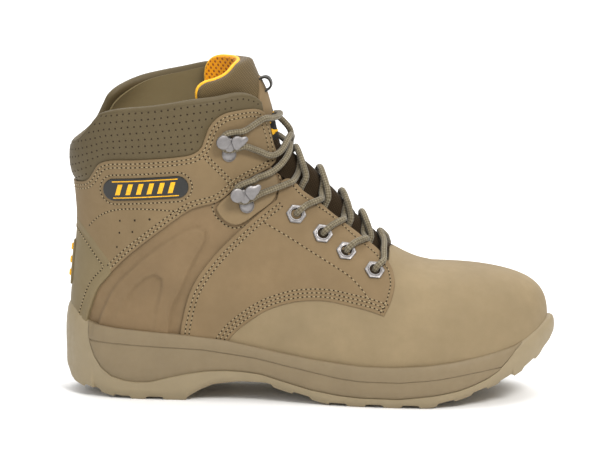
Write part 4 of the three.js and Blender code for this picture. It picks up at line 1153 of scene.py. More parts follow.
def ankle_panel(side):
    """Over the side panel and the collar's lower edge."""
    low = dense(DIAGONAL, 1.3)
    outline = join(dense(COLLAR_SEAM, 1.3), dense(ANKLE_FRONT, 1.3), low, [[30, 82]],
                   shift(BACKSTAY_EDGE[:5], -4)[::-1])
    loop = keep_apart(trace(outline), 12, 110, 150)
    loop[:, 1] = np.minimum(loop[:, 1], PI - 0.012)
    under = [signed(trace(dense(COLLAR_SEAM[1:], 2)), side), signed(trace(low), side)]
    leather_panel("ankle", side, loop, 0.85, ledge(under), "ankle_leather", "ankle", "leather_tan",
                  "ankle_panel", edge=PANEL_EDGE)


def quarter_panel(side):
    """Over the side panel and the vamp."""
    outline = join(dense(QUARTER_REAR[1:], 1.3)[::-1], dense(LACING_EDGE, 1.3), dense(QUARTER_NOSE, 1.3),
                   dense(QUARTER_FOOT, 1.3), [[99, 10], [75.2, 10]])
    under = [signed(trace(dense(line, 2)), side) for line in (QUARTER_REAR[1:], QUARTER_NOSE, QUARTER_FOOT)]
    leather_panel("quarter", side, keep_apart(trace(closed(outline)), 16.2, 138, 200), 0.9, ledge(under),
                  "quarter_leather", "quarter", "leather_tan", "quarter", edge=PANEL_EDGE)


def hook_facing(side):
    """The darker patch under the lower hook."""
    leather_panel("facing", side, keep_apart(trace(dense(FACING + FACING[:1], 1.0)), 13, 110, 150), 1.5, 0.2,
                  "facing_leather", "facing", "leather_olive", "hook_facing", edge=0.9, lattice=1.8)


for side in SIDES:
    side_panel(side)
    ankle_panel(side)
    quarter_panel(side)
    hook_facing(side)


TOE_END = 305.2


def at_pole(p):
    """The toe's end, where the path runs along the centre line, isn't an edge."""
    return p[:, 0] > TOE_END


def vamp():
    """One piece over the toe, tucked under both quarters."""
    edge = join([[206.5, 96], [206.5, 90], [204.5, 84]], shift(QUARTER_NOSE, -5)[6:-4],
                shift(QUARTER_FOOT, -5)[6:], [[94, 26]])
    along_sole = dense(np.c_[np.linspace(94, 305.4, 160), np.full(160, 10.0)], 2.0, smooth=False)
    st = trace(join(dense(edge, 1.3, smooth=False), along_sole))
    st = np.vstack([[st[0, 0], 0.0], st, [-1.0, st[-1, 1]]])
    moved = np.linalg.norm(np.diff(plane(st), axis=0), axis=1) > 1e-3
    sheet = Panel(over_ridge(st[np.concatenate([[True], moved])]), 0.0, THICK_IN, edge=0.6, lattice=2.4,
                  skip=at_pole, ripple=0.25)
    sheet.build("vamp_leather", MAT["vamp"], slot="leather_tan", replaces=["vamp"])


def backstay():
    """One piece round the heel, with a groove pressed in beside its edge."""
    edge = join(dense(BACKSTAY_EDGE, 1.3), [[15.4, 20], [-12, 20]])
    st = trace(dense(edge, 1.3, smooth=False))
    st = np.vstack([[st[0, 0], PI], st, [st[-1, 0], PI]])
    medial, low, high = (trace(shift(BACKSTAY_EDGE, d)) for d in (-4.2, -5.2, -3.2))
    groove = np.vstack([close_points(form(q[:, 0], q[:, 1]), 0.5) for q in (medial, round_heel(medial))])

    def outer(s, t, d):
        pressed = 0.45 * bump_at(nearest(form(s, t), groove), 0, 0.9)
        return 0.95 - pressed - 0.25 * step01((d - 4.4) / 1.2)

    extra = [q for line in (low, medial, high) for q in (line, round_heel(line))]
    sheet = Panel(round_back(st), outer, ledge([medial], 9), edge=PANEL_EDGE, extra=extra, ripple=0.1)
    sheet.build("backstay_leather", MAT["olive"], slot="leather_olive", replaces=["backstay"])
    return sheet


vamp()
panels["backstay"] = backstay()


# ---------------------------------------------------------------- collar, lining
def collar_half(side):
    """The collar's outline from the back seam round to the back seam, along its foot and its rim."""
    low = shift(COLLAR_SEAM, -4)
    low[-1] = [127, 177]
    path = join(low, [[129.4, 180]], dense(TOP_LINE[side][::-1], 1.3), [[-12, 156]])
    st = trace(dense(path, 1.3, smooth=False), None)
    return keep_apart(st, 15, 108, 150)


def collar_foot(side):
    """The collar's lower edge, tucked under the ankle panel."""
    q = trace(shift(COLLAR_SEAM, -4)[:-2], None)
    return close_points(form(q[:, 0], side * q[:, 1]), 0.8)


collar_low = np.vstack([collar_foot(side) for side in SIDES])
COLLAR_MID, COLLAR_HALF_THICK, COLLAR_ROUND = -1.0, 2.9, 4.2


def pillow_at(d):
    """Half the collar's thickness at a distance from its edge."""
    k = np.clip(1 - d / COLLAR_ROUND, 0, 1)
    return COLLAR_HALF_THICK * np.sqrt(np.maximum(1 - k * k, 0))


def collar_outer(s, t, d):
    pillow = COLLAR_MID + pillow_at(d)
    h = nearest(form(s, t), collar_low) - 4
    low = -0.5 + 2.6 * (1 - np.exp(-np.maximum(h, 0) / 4.5))
    piping = 0.45 * bump_at(d, 3.0, 0.55) * (h > 6)
    return np.where(h < 14, np.minimum(pillow, low), pillow) - piping


collar = Panel(round_back(collar_half(1), collar_half(-1)), collar_outer,
               lambda s, t, d: COLLAR_MID - pillow_at(d) - THINNEST, edge=0,
               rings=[0.25, 0.8, 1.5, 2.2, 2.6, 3.0, 3.4, 4.2, 5.6], ripple=0.3)
collar_obj = collar.build("collar_pad", MAT["collar"], slot="leather_olive", replaces=["collar"], sharp=60)

GAP_S = np.array([2.2, 3, 5, 8, 10, 11.5, 12.6])
GAP_HALF = [20, 22, 23, 23, 21, 18.5, 17.5]
LINING_DROP = 3.2


def lining():
    """The lining of the shaft and the toe: one sock, open over the tongue and under the foot."""
    gap = np.c_[GAP_S, t_of_y(GAP_S, GAP_HALF, 1)]
    ridge = np.c_[np.linspace(-0.985, 2.0, 16), np.full(16, 0.001)]
    halves = {}
    for side in SIDES:
        top = trace(dense((np.array(TOP_LINE[side]) - [0, LINING_DROP])[::-1], 4), None)
        halves[side] = np.vstack([ridge, gap, top[top[:, 1] > gap[-1, 1] + 0.05]])
    x = np.linspace(-6, 305.4, 90)
    low = trace(np.c_[x, table(FEATHER, x) - 2.8], None)
    loop = np.vstack([round_back(halves[1], halves[-1]), round_heel(low)[::-1], low])
    Panel(loop, -4.2, -5.4, edge=0.4, lattice=5.5, rings=[0.2, 1.5], ripple=0).build(
        "shaft_lining", MAT["lining"], slot="lining_cloth", replaces=["lining"], sharp=60)


lining()

# ---------------------------------------------------------------- tongue
TONGUE_TOP = {
    -1: [[99, 176], [92.5, 184], [89.5, 191.5], [90.5, 197], [94.5, 200.4], [102, 202.6], [108.5, 205.4],
         [113.5, 209.4], [116.5, 212.8], [119.5, 215]],
    1: [[99, 178], [92, 186], [90, 196], [91.3, 203.5], [95.5, 208.6], [102, 211.4], [109, 212.9],
        [115, 214.3], [119.5, 215]]}
TONGUE_SPLIT = 11.05     # where the lower tongue ends and the upper part begins
LOWER_S = np.array([1.25, 1.32, 1.6, 2.4, 3.5, 5.5, 8, 10, 11.5])
LOWER_Y = np.array([0.01, 6, 11, 14, 15, 15, 15, 15, 15])


def tongue_middle(s, t, d, ridge=-0.9, wing=-8.0, half=8.0, round_at=2.6, core=-7.5):
    """A height that falls from the ridge to the wings, and is rounded to the core at the edge."""
    off = wing + (ridge - wing) * bump_at(form(s, t)[:, 1], 0, half)
    k = np.clip(1 - d / round_at, 0, 1)
    return core + (off - core) * np.sqrt(np.maximum(1 - k * k, 0))


def low_ridge(s):
    """The lower tongue's height along its ridge, raised under the lace."""
    return np.interp(s, [1.7, 2.2, 3, 7, 8.5], [-0.9, 0.8, 1.6, 1.6, -0.9])


def quilt(s):
    """Grooves across the tongue, one in every 1.6 of s."""
    return -0.8 * bump_at(np.mod(s, 1.6), 0.8, 0.12)


lower_s = np.concatenate([np.linspace(1.25, 1.6, 6), np.arange(1.8, 11.1, 0.15)])
half_loop = {}
for side in SIDES:
    t = t_of_y(lower_s, np.interp(lower_s, LOWER_S, LOWER_Y), side)
    half_loop[side] = np.stack([lower_s, side * t], 1)
across = np.linspace(half_loop[1][-1, 1], half_loop[-1][-1, 1], 18)[1:-1]
loop = np.vstack([half_loop[1], np.c_[np.full(16, lower_s[-1]), across], half_loop[-1][::-1]])
tongue_low = Panel(loop, lambda s, t, d: tongue_middle(s, t, d, low_ridge(s)) + quilt(s), -9.4, edge=0,
                   rings=[0.3, 1.0, 2.0, 3.0], ripple=0.35)
low_obj = tongue_low.build("tongue_cloth_low", MAT["brown"], slot="brown_cloth", replaces=["tongue_lower"],
                           sharp=70)
Panel(loop, -9.5, -10.9, edge=0.5, lattice=4, ripple=0).build(
    "tongue_mesh_low", MAT["yellow"], slot="yellow_mesh", replaces=["tongue_lining_lower"], sharp=70)

base_s = np.array([TONGUE_SPLIT, 11.2, 11.5, 11.8, 12.1])
halves = {}
for side in SIDES:
    base = np.c_[base_s, t_of_y(base_s, [19, 20, 23, 27, 30], side)]
    high = trace(dense(TONGUE_TOP[side], 1.2), None)
    high[-1, 1] = 0.02
    halves[side] = np.vstack([base, high])
across = np.linspace(-halves[-1][0, 1], halves[1][0, 1], 20)[1:-1]
loop = np.vstack([np.c_[np.full(18, TONGUE_SPLIT), across], over_ridge(halves[1], halves[-1])])


def tongue_top_outer(s, t, d):
    over = step01((s - 13.2) / 1.5)
    return tongue_middle(s, t, d, -0.8, -6.0 + 1.6 * over, 12.0, 3.2, -7.6)


tongue_top = Panel(loop, tongue_top_outer, -9.3, edge=0, rings=[0.3, 0.9, 1.8, 3.2, 4.5], ripple=0.35)
top_obj = tongue_top.build("tongue_cloth_top", MAT["tongue"], slot="tongue_cloth", body=None,
                           replaces=["tongue_top", "tongue_wing_lateral", "tongue_wing_medial"], sharp=70)
mesh_top = Panel(loop, -9.35, -11.4, edge=0.9, ripple=0.25)
mesh_obj = mesh_top.build("tongue_mesh_top", MAT["yellow"], slot="yellow_mesh", body=None,
                          replaces=["tongue_lining_top"], sharp=70)
rim = over_ridge(halves[1][5:], halves[-1][5:])[1:-1]
v, f, _ = sweep(spline(on_form(rim[:, 0], rim[:, 1], -9.6)[::2], 1.4), 1.25, 10)
trim_obj = make("tongue_binding", v, f, MAT["trim"], slot="yellow_trim", body=None, sharp=0)

# smooth front strip of the tongue with the woven label, and the pull loop
strip_s = np.arange(11.3, 14.25, 0.12)
half_w = np.interp(strip_s, [11.3, 12.3, 12.8, 13.3, 13.9, 14.2], [12, 14, 12.5, 9, 5.5, 3.5])
strip = ribbon(strip_s, t_of_y(strip_s, half_w, 1), -t_of_y(strip_s, half_w, -1))
FAR_IN = 9.0     # a distance from the edge at which nothing is rounded any more


def strip_outer(s, t, d):
    return tongue_middle(s, t, np.full(len(s), FAR_IN), -0.8, -4.4, 12.0) + 0.7


front_strip = Panel(strip, strip_outer, lambda s, t, d: strip_outer(s, t, d) - 1.6, edge=0.6, lattice=2)
strip_obj = front_strip.build("tongue_front_strip", MAT["quarter"], slot="leather_tan", body=None, sharp=50)


def label_piece(name, s0, s1, half, lift, material, slot, **k):
    """A rectangle laid on the tongue, half wide to each side of the ridge."""
    s = np.linspace(s0, s1, 14)

    def outer(q, t, d):
        return tongue_middle(q, t, np.full(len(q), FAR_IN)) + lift

    Panel(ribbon(s, t_of_y(s, half, 1), -t_of_y(s, half, -1)), outer, lambda q, t, d: outer(q, t, d) - 0.6,
          edge=0.25, lattice=1.8, ripple=0).build(name, material, slot=slot, **k)


label_piece("woven_label", 9.3, 12.3, 6.5, 1.0, MAT["label_dark"], "label", replaces=["tongue_label"])
for i, (a, b) in enumerate(((9.7, 10.2), (10.55, 10.75), (11.1, 11.6))):
    label_piece(f"label_bar_{i + 1}", a, b, 5.6, 1.3, MAT["badge_print"], "yellow_trim")

PULL_ARC = [[-4.4, -2], [-4.2, 0.2], [-3.2, 2.2], [-1.5, 3.2], [0.4, 3.4], [2.2, 2.9], [3.6, 1.4], [4.2, -2]]
PULL_SECTION = [[4, 0.35], [3.6, 0.6], [2, 0.72], [0, 0.6], [-2, 0.72], [-3.6, 0.6], [-4, 0.35], [-4, -0.35],
                [-3.6, -0.6], [0, -0.6], [3.6, -0.6], [4, -0.35]]


def pull_loop():
    """A webbing loop that stands on the tongue's front."""
    axes = frame_at(13.6, 0.02, -1, 1.2)
    arc = spline(local(axes, [[0, y, z] for y, z in PULL_ARC]), 0.6)
    across = axes[0][0]
    outward = np.cross(across, unit(np.gradient(arc, axis=0)))
    v, f = drum([p + [across * a + n * b for a, b in PULL_SECTION] for p, n in zip(arc, outward)])
    make("pull_loop", v, f, MAT["webbing"], slot="webbing", body="tongue_fold",
         replaces=["tongue_loop"], sharp=50)


pull_loop()
for obj in (top_obj, mesh_obj, trim_obj, strip_obj):
    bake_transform(obj)


# gussets: loose folded cloth between tongue and quarters
def folds(s, t, d):
    return -8.5 + 0.5 * np.sin(form(s, t)[:, 1] * 1.3) + 0.3 * np.sin(s * 5)


for side, word in SIDES.items():
    s = np.arange(1.9, TONGUE_SPLIT, 0.15)
    near_edge = t_of_y(s, np.interp(s, [1.9, 3], [9, 11.5]), side)
    far_edge = t_of_y(s, np.interp(s, [1.9, 3, 10, 11], [15, 23.5, 24.5, 26]), side)
    Panel(ribbon(s, side * near_edge, side * far_edge), folds, lambda s, t, d: folds(s, t, d) - 0.7, edge=0.3,
          lattice=2, ripple=0).build(f"gusset_cloth_{word}", MAT["brown"], slot="brown_cloth",
                                     replaces=[f"gusset_{word}"], sharp=70)

# ---------------------------------------------------------------- stitching
thread_parts, hole_parts = [], []


def run_points(panel, st, margin=0.9):
    """The stretches of a line that lie on a panel, as points of its face and their normals."""
    good = panel.holds(st) & (panel.distance(st) > margin)
    P = panel.at(st)
    N = normal(st[:, 0], st[:, 1])
    runs, start = [], None
    for i, g in enumerate(list(good) + [False]):
        if g and start is None:
            start = i
        if not g and start is not None:
            if i - start > 3:
                runs.append((P[start:i], N[start:i]))
            start = None
    return runs


def spread(at, run, values):
    """Values at even places along a run."""
    return np.stack([np.interp(at, run, values[:, k]) for k in range(3)], 1)


def circle(r, n, phase=0.0, middle=(0, 0)):
    a = np.linspace(0, 2 * PI, n, endpoint=False) + phase
    return np.stack([np.cos(a), np.sin(a)], 1) * r + middle


THREAD_R = 0.36
STITCH = [(-0.5, 0.5, -0.22), (-0.3, 1, 0.12), (0, 1.05, 0.2), (0.3, 1, 0.12), (0.5, 0.5, -0.22)]
HOLE_DEPTH = 0.4
NEEDLE_HOLE = (0.62, 0.5)
VENT_R = 0.75
THREAD_RING, HOLE_RING = circle(1, 6), circle(1, 8)


def stitch(c, T, N, length):
    """One stitch: its shares of the length, of the thread's radius, and its heights are in STITCH."""
    ring = THREAD_RING[:, :1] * np.cross(T, N) + THREAD_RING[:, 1:] * N
    thread_parts.append(drum([c + T * (u * length) + N * h + ring * (THREAD_R * k) for u, k, h in STITCH]))


def dot(c, T, N, a, b, lift=0.06):
    """A hole shown as a thin dark plate, painted shade where the hole is, with half a length a along T and
    half a width b.
    """
    rim = c + N * lift + HOLE_RING[:, :1] * T * a + HOLE_RING[:, 1:] * np.cross(N, T) * b
    hole_parts.append(drum([rim - N * HOLE_DEPTH, rim]))


def sew(panel, st, pitch=2.9, length=1.9):
    """A row of stitches with a needle hole between each two, each hole a dark plate of painted shade."""
    for P, N in run_points(panel, st):
        run = run_of(P)
        n = int(run[-1] / pitch)
        if n < 1:
            continue
        at = np.arange(2 * n + 1) * (run[-1] / (2 * n))
        C, D = spread(at, run, P), unit(spread(at, run, N))
        T = unit(np.gradient(C, axis=0))
        T -= D * (T * D).sum(1, keepdims=True)
        for i in range(len(at)):
            if i % 2:
                stitch(C[i], T[i], D[i], length)
            else:
                dot(C[i], T[i], D[i], *NEEDLE_HOLE)


CROSS_ROW = [[93.4, 154.5], [105.4, 141.4], [109, 137]]
ARC_ROW = [[19.1, 109.1], [24.5, 115], [30.8, 118.9], [38, 121], [46.9, 121.9], [60, 121.9], [72.2, 121.1],
           [80, 121.3]]
INNER_ROW = [[129.3, 112.4], [143, 104.5], [157.2, 95.7], [171, 87.5], [183.3, 80], [191, 72.5],
             [196.5, 65.1]]
VENTS = [[39.2, 114], [48.6, 114.7], [57.8, 115.6], [38.8, 106.3], [47, 107.3], [37.1, 97.2]]
BADGE = dict(x=55.4, z=135.0, length=53.5, height=14.0, tilt=math.radians(4))


def on_badge(points):
    """Points of the badge's own plane, moved to its tilt and place."""
    c, s = math.cos(BADGE["tilt"]), math.sin(BADGE["tilt"])
    return np.asarray(points, float) @ [[c, s], [-s, c]] + [BADGE["x"], BADGE["z"]]


def pill(length, height, n=40):
    r = height / 2
    p = circle(r, n, PI / n)
    return on_badge(p + np.c_[np.sign(p[:, 0]) * (length / 2 - r), np.zeros(n)])


def sew_side(side):
    """All rows of stitches of one side, each as a panel, a line, a pitch and a stitch length."""
    top_edge = join(dense(COLLAR_SEAM, 1.3), dense(ANKLE_FRONT[:5], 1.3))
    front_edge = join(dense(LACING_EDGE, 1.3), dense(QUARTER_NOSE, 1.3))
    rows = [("ankle", shift(top_edge, -d, smooth=False), 2.9, 1.9) for d in (2.3, 4.7)]
    rows += [("ankle", shift(DIAGONAL, 0.2 - d), 2.9, 1.9) for d in (2.3, 4.7)]
    rows += [("ankle", shift(CROSS_ROW, d), 2.9, 1.9) for d in (-1.2, 1.2)]
    rows += [("ankle", dense(ARC_ROW), 2.5, 1.5)]
    rows += [("quarter", shift(QUARTER_REAR[1:], d), 2.9, 1.9) for d in (3.1, 5.7)]
    rows += [("quarter", shift(front_edge, -2.7, smooth=False), 2.6, 1.5)]
    rows += [("quarter", shift(QUARTER_FOOT, -d), 2.9, 1.9) for d in (2.4, 4.7, 7.0)]
    rows += [("quarter", dense(INNER_ROW), 3.3, 1.6)]
    rows += [("side", shift(closed(FACING, 1.0), -2.2, smooth=False), 2.7, 1.6)]
    if side < 0:
        rows += [("ankle", closed(pill(BADGE["length"] + 4.6, BADGE["height"] + 4.6), 1.0), 2.6, 1.6)]
    for kind, line, pitch, length in rows:
        sew(panels[kind, side], signed(trace(line), side), pitch, length)
    back_row = trace(shift(BACKSTAY_EDGE, -5.9))
    sew(panels["backstay"], back_row if side > 0 else round_heel(back_row), 2.4, 1.4)
    # each vent is a dark plate: painted shade where the vent hole is
    for place in VENTS:
        q = signed(trace(np.array([place])), side)
        out = normal(q[:, 0], q[:, 1])[0]
        dot(panels["ankle", side].at(q)[0], np.array([1, 0, 0]), out, VENT_R, VENT_R)


PERF_X, PERF_Z, PERF_R = 4.1, 4.4, 0.58
PERF_ROWS = 10
PERF_FROM_SEAM, PERF_FROM_RIM, PERF_FROM_BACK = 6.4, 3.6, 2
LEVEL_FROM = 45.0     # behind this x the rows go on straight instead of following the rim down


def perforate(side):
    """Rows of small holes over the collar, spread between its rim and its seam, each a dark plate of painted
    shade.
    """
    xs = np.arange(-4, 130, 1.0)
    line = TOP_LINE[side]
    top = np.where(xs < LEVEL_FROM, table(line, LEVEL_FROM) - (LEVEL_FROM - xs) * 0.22, table(line, xs))
    rim = trace(dense(line, 1.3), None)
    rim = close_points(form(rim[:, 0], side * rim[:, 1]), 0.8)
    seam = 151.3 + (xs - 30) * np.where(xs < 30, 0.5, 0.06)
    for k in range(PERF_ROWS):
        st = trace(np.c_[xs, top - (3.9 + PERF_Z * k) * (top - seam) / 36], None)
        for P, N in run_points(collar, st if side > 0 else round_heel(st), 3.2):
            run = run_of(P)
            at = np.arange(PERF_X / 2, run[-1], PERF_X)
            C = spread(at, run, P)
            clear = (nearest(C, collar_low) > PERF_FROM_SEAM) & (nearest(C, rim) > PERF_FROM_RIM)
            clear &= np.abs(C[:, 1]) > PERF_FROM_BACK
            for c, n in zip(C[clear], spread(at, run, N)[clear]):
                dot(c, unit(np.cross(n, [0, 0, 1])), n, PERF_R, PERF_R, 0.05)


for side in SIDES:
    sew_side(side)
for side in SIDES:
    perforate(side)
v, f = merge(thread_parts)
make("stitching", v, f, MAT["thread"], slot="leather_tan", sharp=0)
# the dark plates of painted hole shade, as one mesh
v, f = merge(hole_parts)
make("needle_holes", v, f, MAT["hole"], slot="board", sharp=0)


# ---------------------------------------------------------------- badge and heel tab
def badge_shape(name, outline, outer, thick, material, slot, **k):
    """A flat shape of the badge, laid on the lateral side."""
    path = signed(trace(closed(outline, 1.0)[:-1]), -1)
    Panel(path, outer, outer - thick, ripple=0, **k).build(
        name, material, slot=slot, replaces=["badge_lateral"] if slot == "badge" else ())


badge_shape("badge_plate", pill(BADGE["length"], BADGE["height"], 60), 1.9, 1.4, MAT["badge"], "badge",
            edge=0.6, lattice=2)


def badge_print(name, corners):
    badge_shape(name, on_badge(corners), 2.1, 0.35, MAT["badge_print"], "yellow_trim", edge=0.2, lattice=1.5)


for i, z in enumerate((-5.2, 5.2)):
    low, high, w = z - 0.35, z + 0.35, 20.5
    badge_print(f"badge_rule_{i + 1}", [[-w, low], [w, low], [w, high], [-w, high]])
for i in range(6):
    x = -17.5 + 6.6 * i
    badge_print(f"badge_bar_{i + 1}", [[x - 1.8, -3.4], [x + 1.2, -3.4], [x + 3.6, 3.4], [x + 0.6, 3.4]])

PATCH_LOW, PATCH_HIGH, PATCH_HALF = 67.5, 96.5, 8.7
BAR_FIRST, BAR_PITCH, BAR_HEIGHT = 5.3, 8.3, 4.6


def patch_path(low, high, half, corner=3.0):
    """A rectangle with rounded corners over the back seam."""
    z = low + (high - low) * (1 - np.cos(np.linspace(0, PI, 24))) / 2
    line = np.linspace(8.5, 14, 200)
    back = np.interp(z, form(line, np.full(200, PI))[:, 2], line)
    k = np.clip(np.minimum(z - low, high - z) / corner, 0, 1)
    y = half - corner * (1 - np.sqrt(1 - (1 - k) ** 2))
    t = t_of_y(back, y, 1)
    return ribbon(back, PI - t, PI + t)


Panel(patch_path(PATCH_LOW, PATCH_HIGH, PATCH_HALF), 1.8, 0.3, edge=0.5, lattice=1.8, ripple=0).build(
    "heel_tab", MAT["olive"], slot="leather_olive", replaces=["heel_patch"])
for i in range(3):
    z = PATCH_LOW + BAR_FIRST + i * BAR_PITCH
    Panel(patch_path(z, z + BAR_HEIGHT, PATCH_HALF - 2.2, 1.8), 2.9, 1.2, edge=1.0, lattice=1.1, ripple=0,
          rings=[0.15, 0.4, 0.8]).build(f"heel_tab_bar_{i + 1}", MAT["trim"], slot="yellow_trim")

# ---------------------------------------------------------------- sole
# Tables over x: half widths to each side of the centre, the centre, the tread, the top edge, the split
# between outsole and midsole, and the groove under the midsole's rim.
SOLE_LENGTH = 310.0
SOLE_HALF = {
    -1: [[0, 0], [5, 15], [12, 24], [25, 32.5], [40, 36.2], [60, 38], [100, 39], [127, 41], [151, 44.5],
         [175, 48.5], [200, 52], [220, 53.7], [240, 53.5], [265, 47.5], [285, 38], [298, 26], [306, 13],
         [310, 0]],
    1: [[0, 0], [5, 15], [12, 24], [25, 32.2], [40, 35.6], [60, 37.2], [100, 37.4], [127, 37.4],
        [151, 38.8], [175, 42.2], [200, 47.4], [220, 50.8], [240, 51], [265, 46], [285, 36.5], [298, 25],
        [306, 12.5], [310, 0]]}
SOLE_CENTRE = [[0, 0], [190, 0], [232, 0.8], [268, 3.4], [296, 4.8], [310, 5.2]]
SOLE_BOTTOM = [
    [0, 15], [2, 11.5], [6, 8], [14, 5.6], [26, 2.6], [38, 0], [80, 0], [88, 5], [97, 9], [113, 11.2],
    [130, 11], [140, 8], [150, 5.2], [162, 2], [172, 0], [233, 0], [249, 3.5], [263, 8], [278, 13.5],
    [292, 20.5], [301, 27], [307, 33], [310, 38]]
SOLE_TOP = [
    [0, 57], [3, 57.6], [6, 56], [10, 51.5], [14.5, 48.2], [20, 47], [34, 45.3], [73, 42.5], [104, 39.4],
    [136, 33], [159, 29.2], [178, 27.1], [191, 26], [210, 25.9], [230, 27.1], [249, 29.3], [268, 32.7],
    [286, 36.8], [292, 39.5], [302, 45.4], [307, 49], [310, 50.8]]
# The wall's inset over its height, from 0 at the tread to 1 at the top edge
WALL = [[0, -3.4], [0.12, -1.6], [0.35, -0.2], [0.6, 0], [0.85, -0.5], [1, -1.6]]
SOLE_SPLIT = [
    [15.4, 50.4], [18, 35.7], [21, 27], [25.6, 19.7], [32, 14.6], [40.1, 12.2], [48, 11.4],
    [57.2, 11.8], [68, 14.6], [82.5, 17.9], [93, 19.5], [104.7, 20.1], [116, 19.7], [126.9, 18.4],
    [142, 14.2], [158.5, 9.8], [177.5, 6.9], [190.6, 6], [214.9, 6], [239, 8.9], [252, 11.2], [261.1, 14.3],
    [269, 17.8], [275.7, 22.2], [282, 29], [286.5, 34.5], [291, 38.4], [291.6, 39.6]]
GROOVE = [[15, 37.2], [20.5, 36.3], [47.7, 34.8], [90.8, 33], [124.3, 28.6], [147.1, 23.8], [176.6, 18.1],
          [190.8, 16.6], [214.9, 16.6], [239, 18.8], [271.9, 23.7], [292, 26.5]]
MIDSOLE_FROM, MIDSOLE_TO = 15.4, 291.4
LUG_ROWS = [[3, 14], [23.5, 33.5], [44, 54], [65, 80], [134, 147], [158, 170], [181, 193], [204, 216],
            [227, 239], [250, 261], [270, 278], [286, 292], [299, 303]]
TREAD = 3.0
NOTCH = 0.6           # how deep the gaps between lugs show in the wall, as a share of the tread
WALL_SHARES = [0.0, 0.06, 0.16, 0.3, 0.45, 0.6, 0.75, 0.88, 0.96, 1.0]
LIP_IN = 8.0          # from the wall in to the hollow that the midsole and the upper stand in
SOLE_FLOOR = 6.0


def along(x):
    """The way round a half circle whose shadow is x, so that the tables are steep at neither end."""
    return np.arccos(1 - 2 * np.clip(x, 0, SOLE_LENGTH) / SOLE_LENGTH)


def half_at(side, x):
    points = np.array(SOLE_HALF[side], float)
    return smooth_table(np.c_[along(points[:, 0]), points[:, 1]], along(x))


stations = [SOLE_LENGTH * (1 - np.cos(np.linspace(0, PI, 150))) / 2, np.arange(15.4, 27, 0.7),
            np.arange(270, 292, 1.0), [MIDSOLE_FROM, MIDSOLE_TO]]
stations += [[a - 0.5, a + 0.5, b - 0.5, b + 0.5] for a, b in LUG_ROWS]
stations = np.unique(np.round(np.concatenate(stations), 3))
stations = stations[np.concatenate([[True], np.diff(stations) > 0.3])]
stations[0], stations[-1] = 0.0, SOLE_LENGTH
mid_from, mid_to = (stations[np.argmin(np.abs(stations - x))] for x in (MIDSOLE_FROM, MIDSOLE_TO))


def on_lug(x):
    """1 on a lug, 0 between lugs."""
    k = np.zeros(len(x))
    for a, b in LUG_ROWS:
        k = np.maximum(k, step01((x - a + 0.8) / 1.6) * step01((b + 0.8 - x) / 1.6))
    return k


centre = smooth_table(SOLE_CENTRE, stations)
low_z, top_z = table(SOLE_BOTTOM, stations), table(SOLE_TOP, stations)
split_z, groove_z = table(SOLE_SPLIT, stations), table(GROOVE, stations)
outline = {side: np.stack([stations, centre + side * half_at(side, stations)], 1) for side in SIDES}
ring_pts = np.vstack([outline[-1], outline[1][-2:0:-1]])
tangent = unit(np.roll(ring_pts, -1, 0) - np.roll(ring_pts, 1, 0))
ring_out = np.stack([tangent[:, 1], -tangent[:, 0]], 1)
n_ring, n_st = len(ring_pts), len(stations)
ring_i = np.concatenate([np.arange(n_st), np.arange(n_st - 2, 0, -1)])     # each ring point's station
med_index = (n_ring - np.arange(n_st)) % n_ring                            # each station's medial ring point
med_index[-1] = n_st - 1


def wall_point(k, z, extra):
    """Points of the sole's wall over the ring points k, at heights z, moved out by extra."""
    i = ring_i[k]
    share = np.clip((z - low_z[i]) / (top_z[i] - low_z[i]), 0, 1)
    x = ring_pts[k, 0]
    low = 1 - step01((share - 0.2) / 0.4)
    ends = np.where(x < 20, 1.6 - 1.4 * low, np.where(x > 285, 1 - 0.7 * low, 1))
    inset = smooth_table(WALL, share) * ends + extra
    p = ring_pts[k] + ring_out[k] * inset[:, None]
    return np.c_[p, z]


all_k = np.arange(n_ring)


def outsole_rings():
    """Rings of the outsole's wall, from the tread up, in over the lip and down to the hollow's floor."""
    x, low, top = ring_pts[:, 0], low_z[ring_i], top_z[ring_i]
    start = np.minimum(low + TREAD * NOTCH * (1 - on_lug(x)), low + TREAD)
    end = np.minimum(np.where((x > mid_from) & (x < mid_to), split_z[ring_i], top), top)
    rings = []
    for share in WALL_SHARES:
        z = start + (end - start) * share
        extra = {0.0: -0.5, 1.0: -0.8}.get(share, 0.0) + 0.5 * bump_at(z, low + 5.5, 1.2) * (x < 110)
        rings.append(wall_point(all_k, z, extra))
    lip = ring_pts - ring_out * LIP_IN
    return rings + [np.c_[lip, end - 0.2], np.c_[lip, np.minimum(low + SOLE_FLOOR, end - 0.7)]]


def tread_height(x, y, edge):
    """The tread between its two edges: blocks along the edges, chevrons inside, ribs in the waist."""
    blocks = on_lug(stations) * step01((15.5 - edge) / 1.6)
    wave = np.cos((x + np.abs(y - centre) * 0.45) * 2 * PI / 15.5)
    waist = step01((x - 80) / 4) * step01((134 - x) / 4)
    chevrons = step01((wave + 0.15) / 0.35) * step01((edge - 17.5) / 1.6) * (1 - waist)
    ribs = waist * 0.5 * step01((np.cos(x * 2 * PI / 9) - 0.1) / 0.5) * step01((edge - 6) / 2)
    return low_z + TREAD * (1 - np.clip(np.maximum(np.maximum(blocks, chevrons), ribs), 0, 1))


ACROSS = 40


def tread_rows(lateral, medial):
    """Rows of points over the tread, from the lateral edge to the medial one."""
    rows = []
    for w in np.arange(1, ACROSS) / ACROSS:
        x, y, z = (lateral * (1 - w) + medial * w).T
        edge = np.minimum(y - lateral[:, 1], medial[:, 1] - y)
        rows.append(np.c_[x, y, np.where(edge < 1.5, z, tread_height(x, y, edge))])
    return rows


def strips(columns):
    """Faces between columns of point numbers, left out where they close to nothing."""
    faces = []
    for left, right in zip(columns[:-1], columns[1:]):
        for i in range(n_st - 1):
            face = tuple(dict.fromkeys((left[i], right[i], right[i + 1], left[i + 1])))
            if len(face) > 2:
                faces.append(face)
    return faces


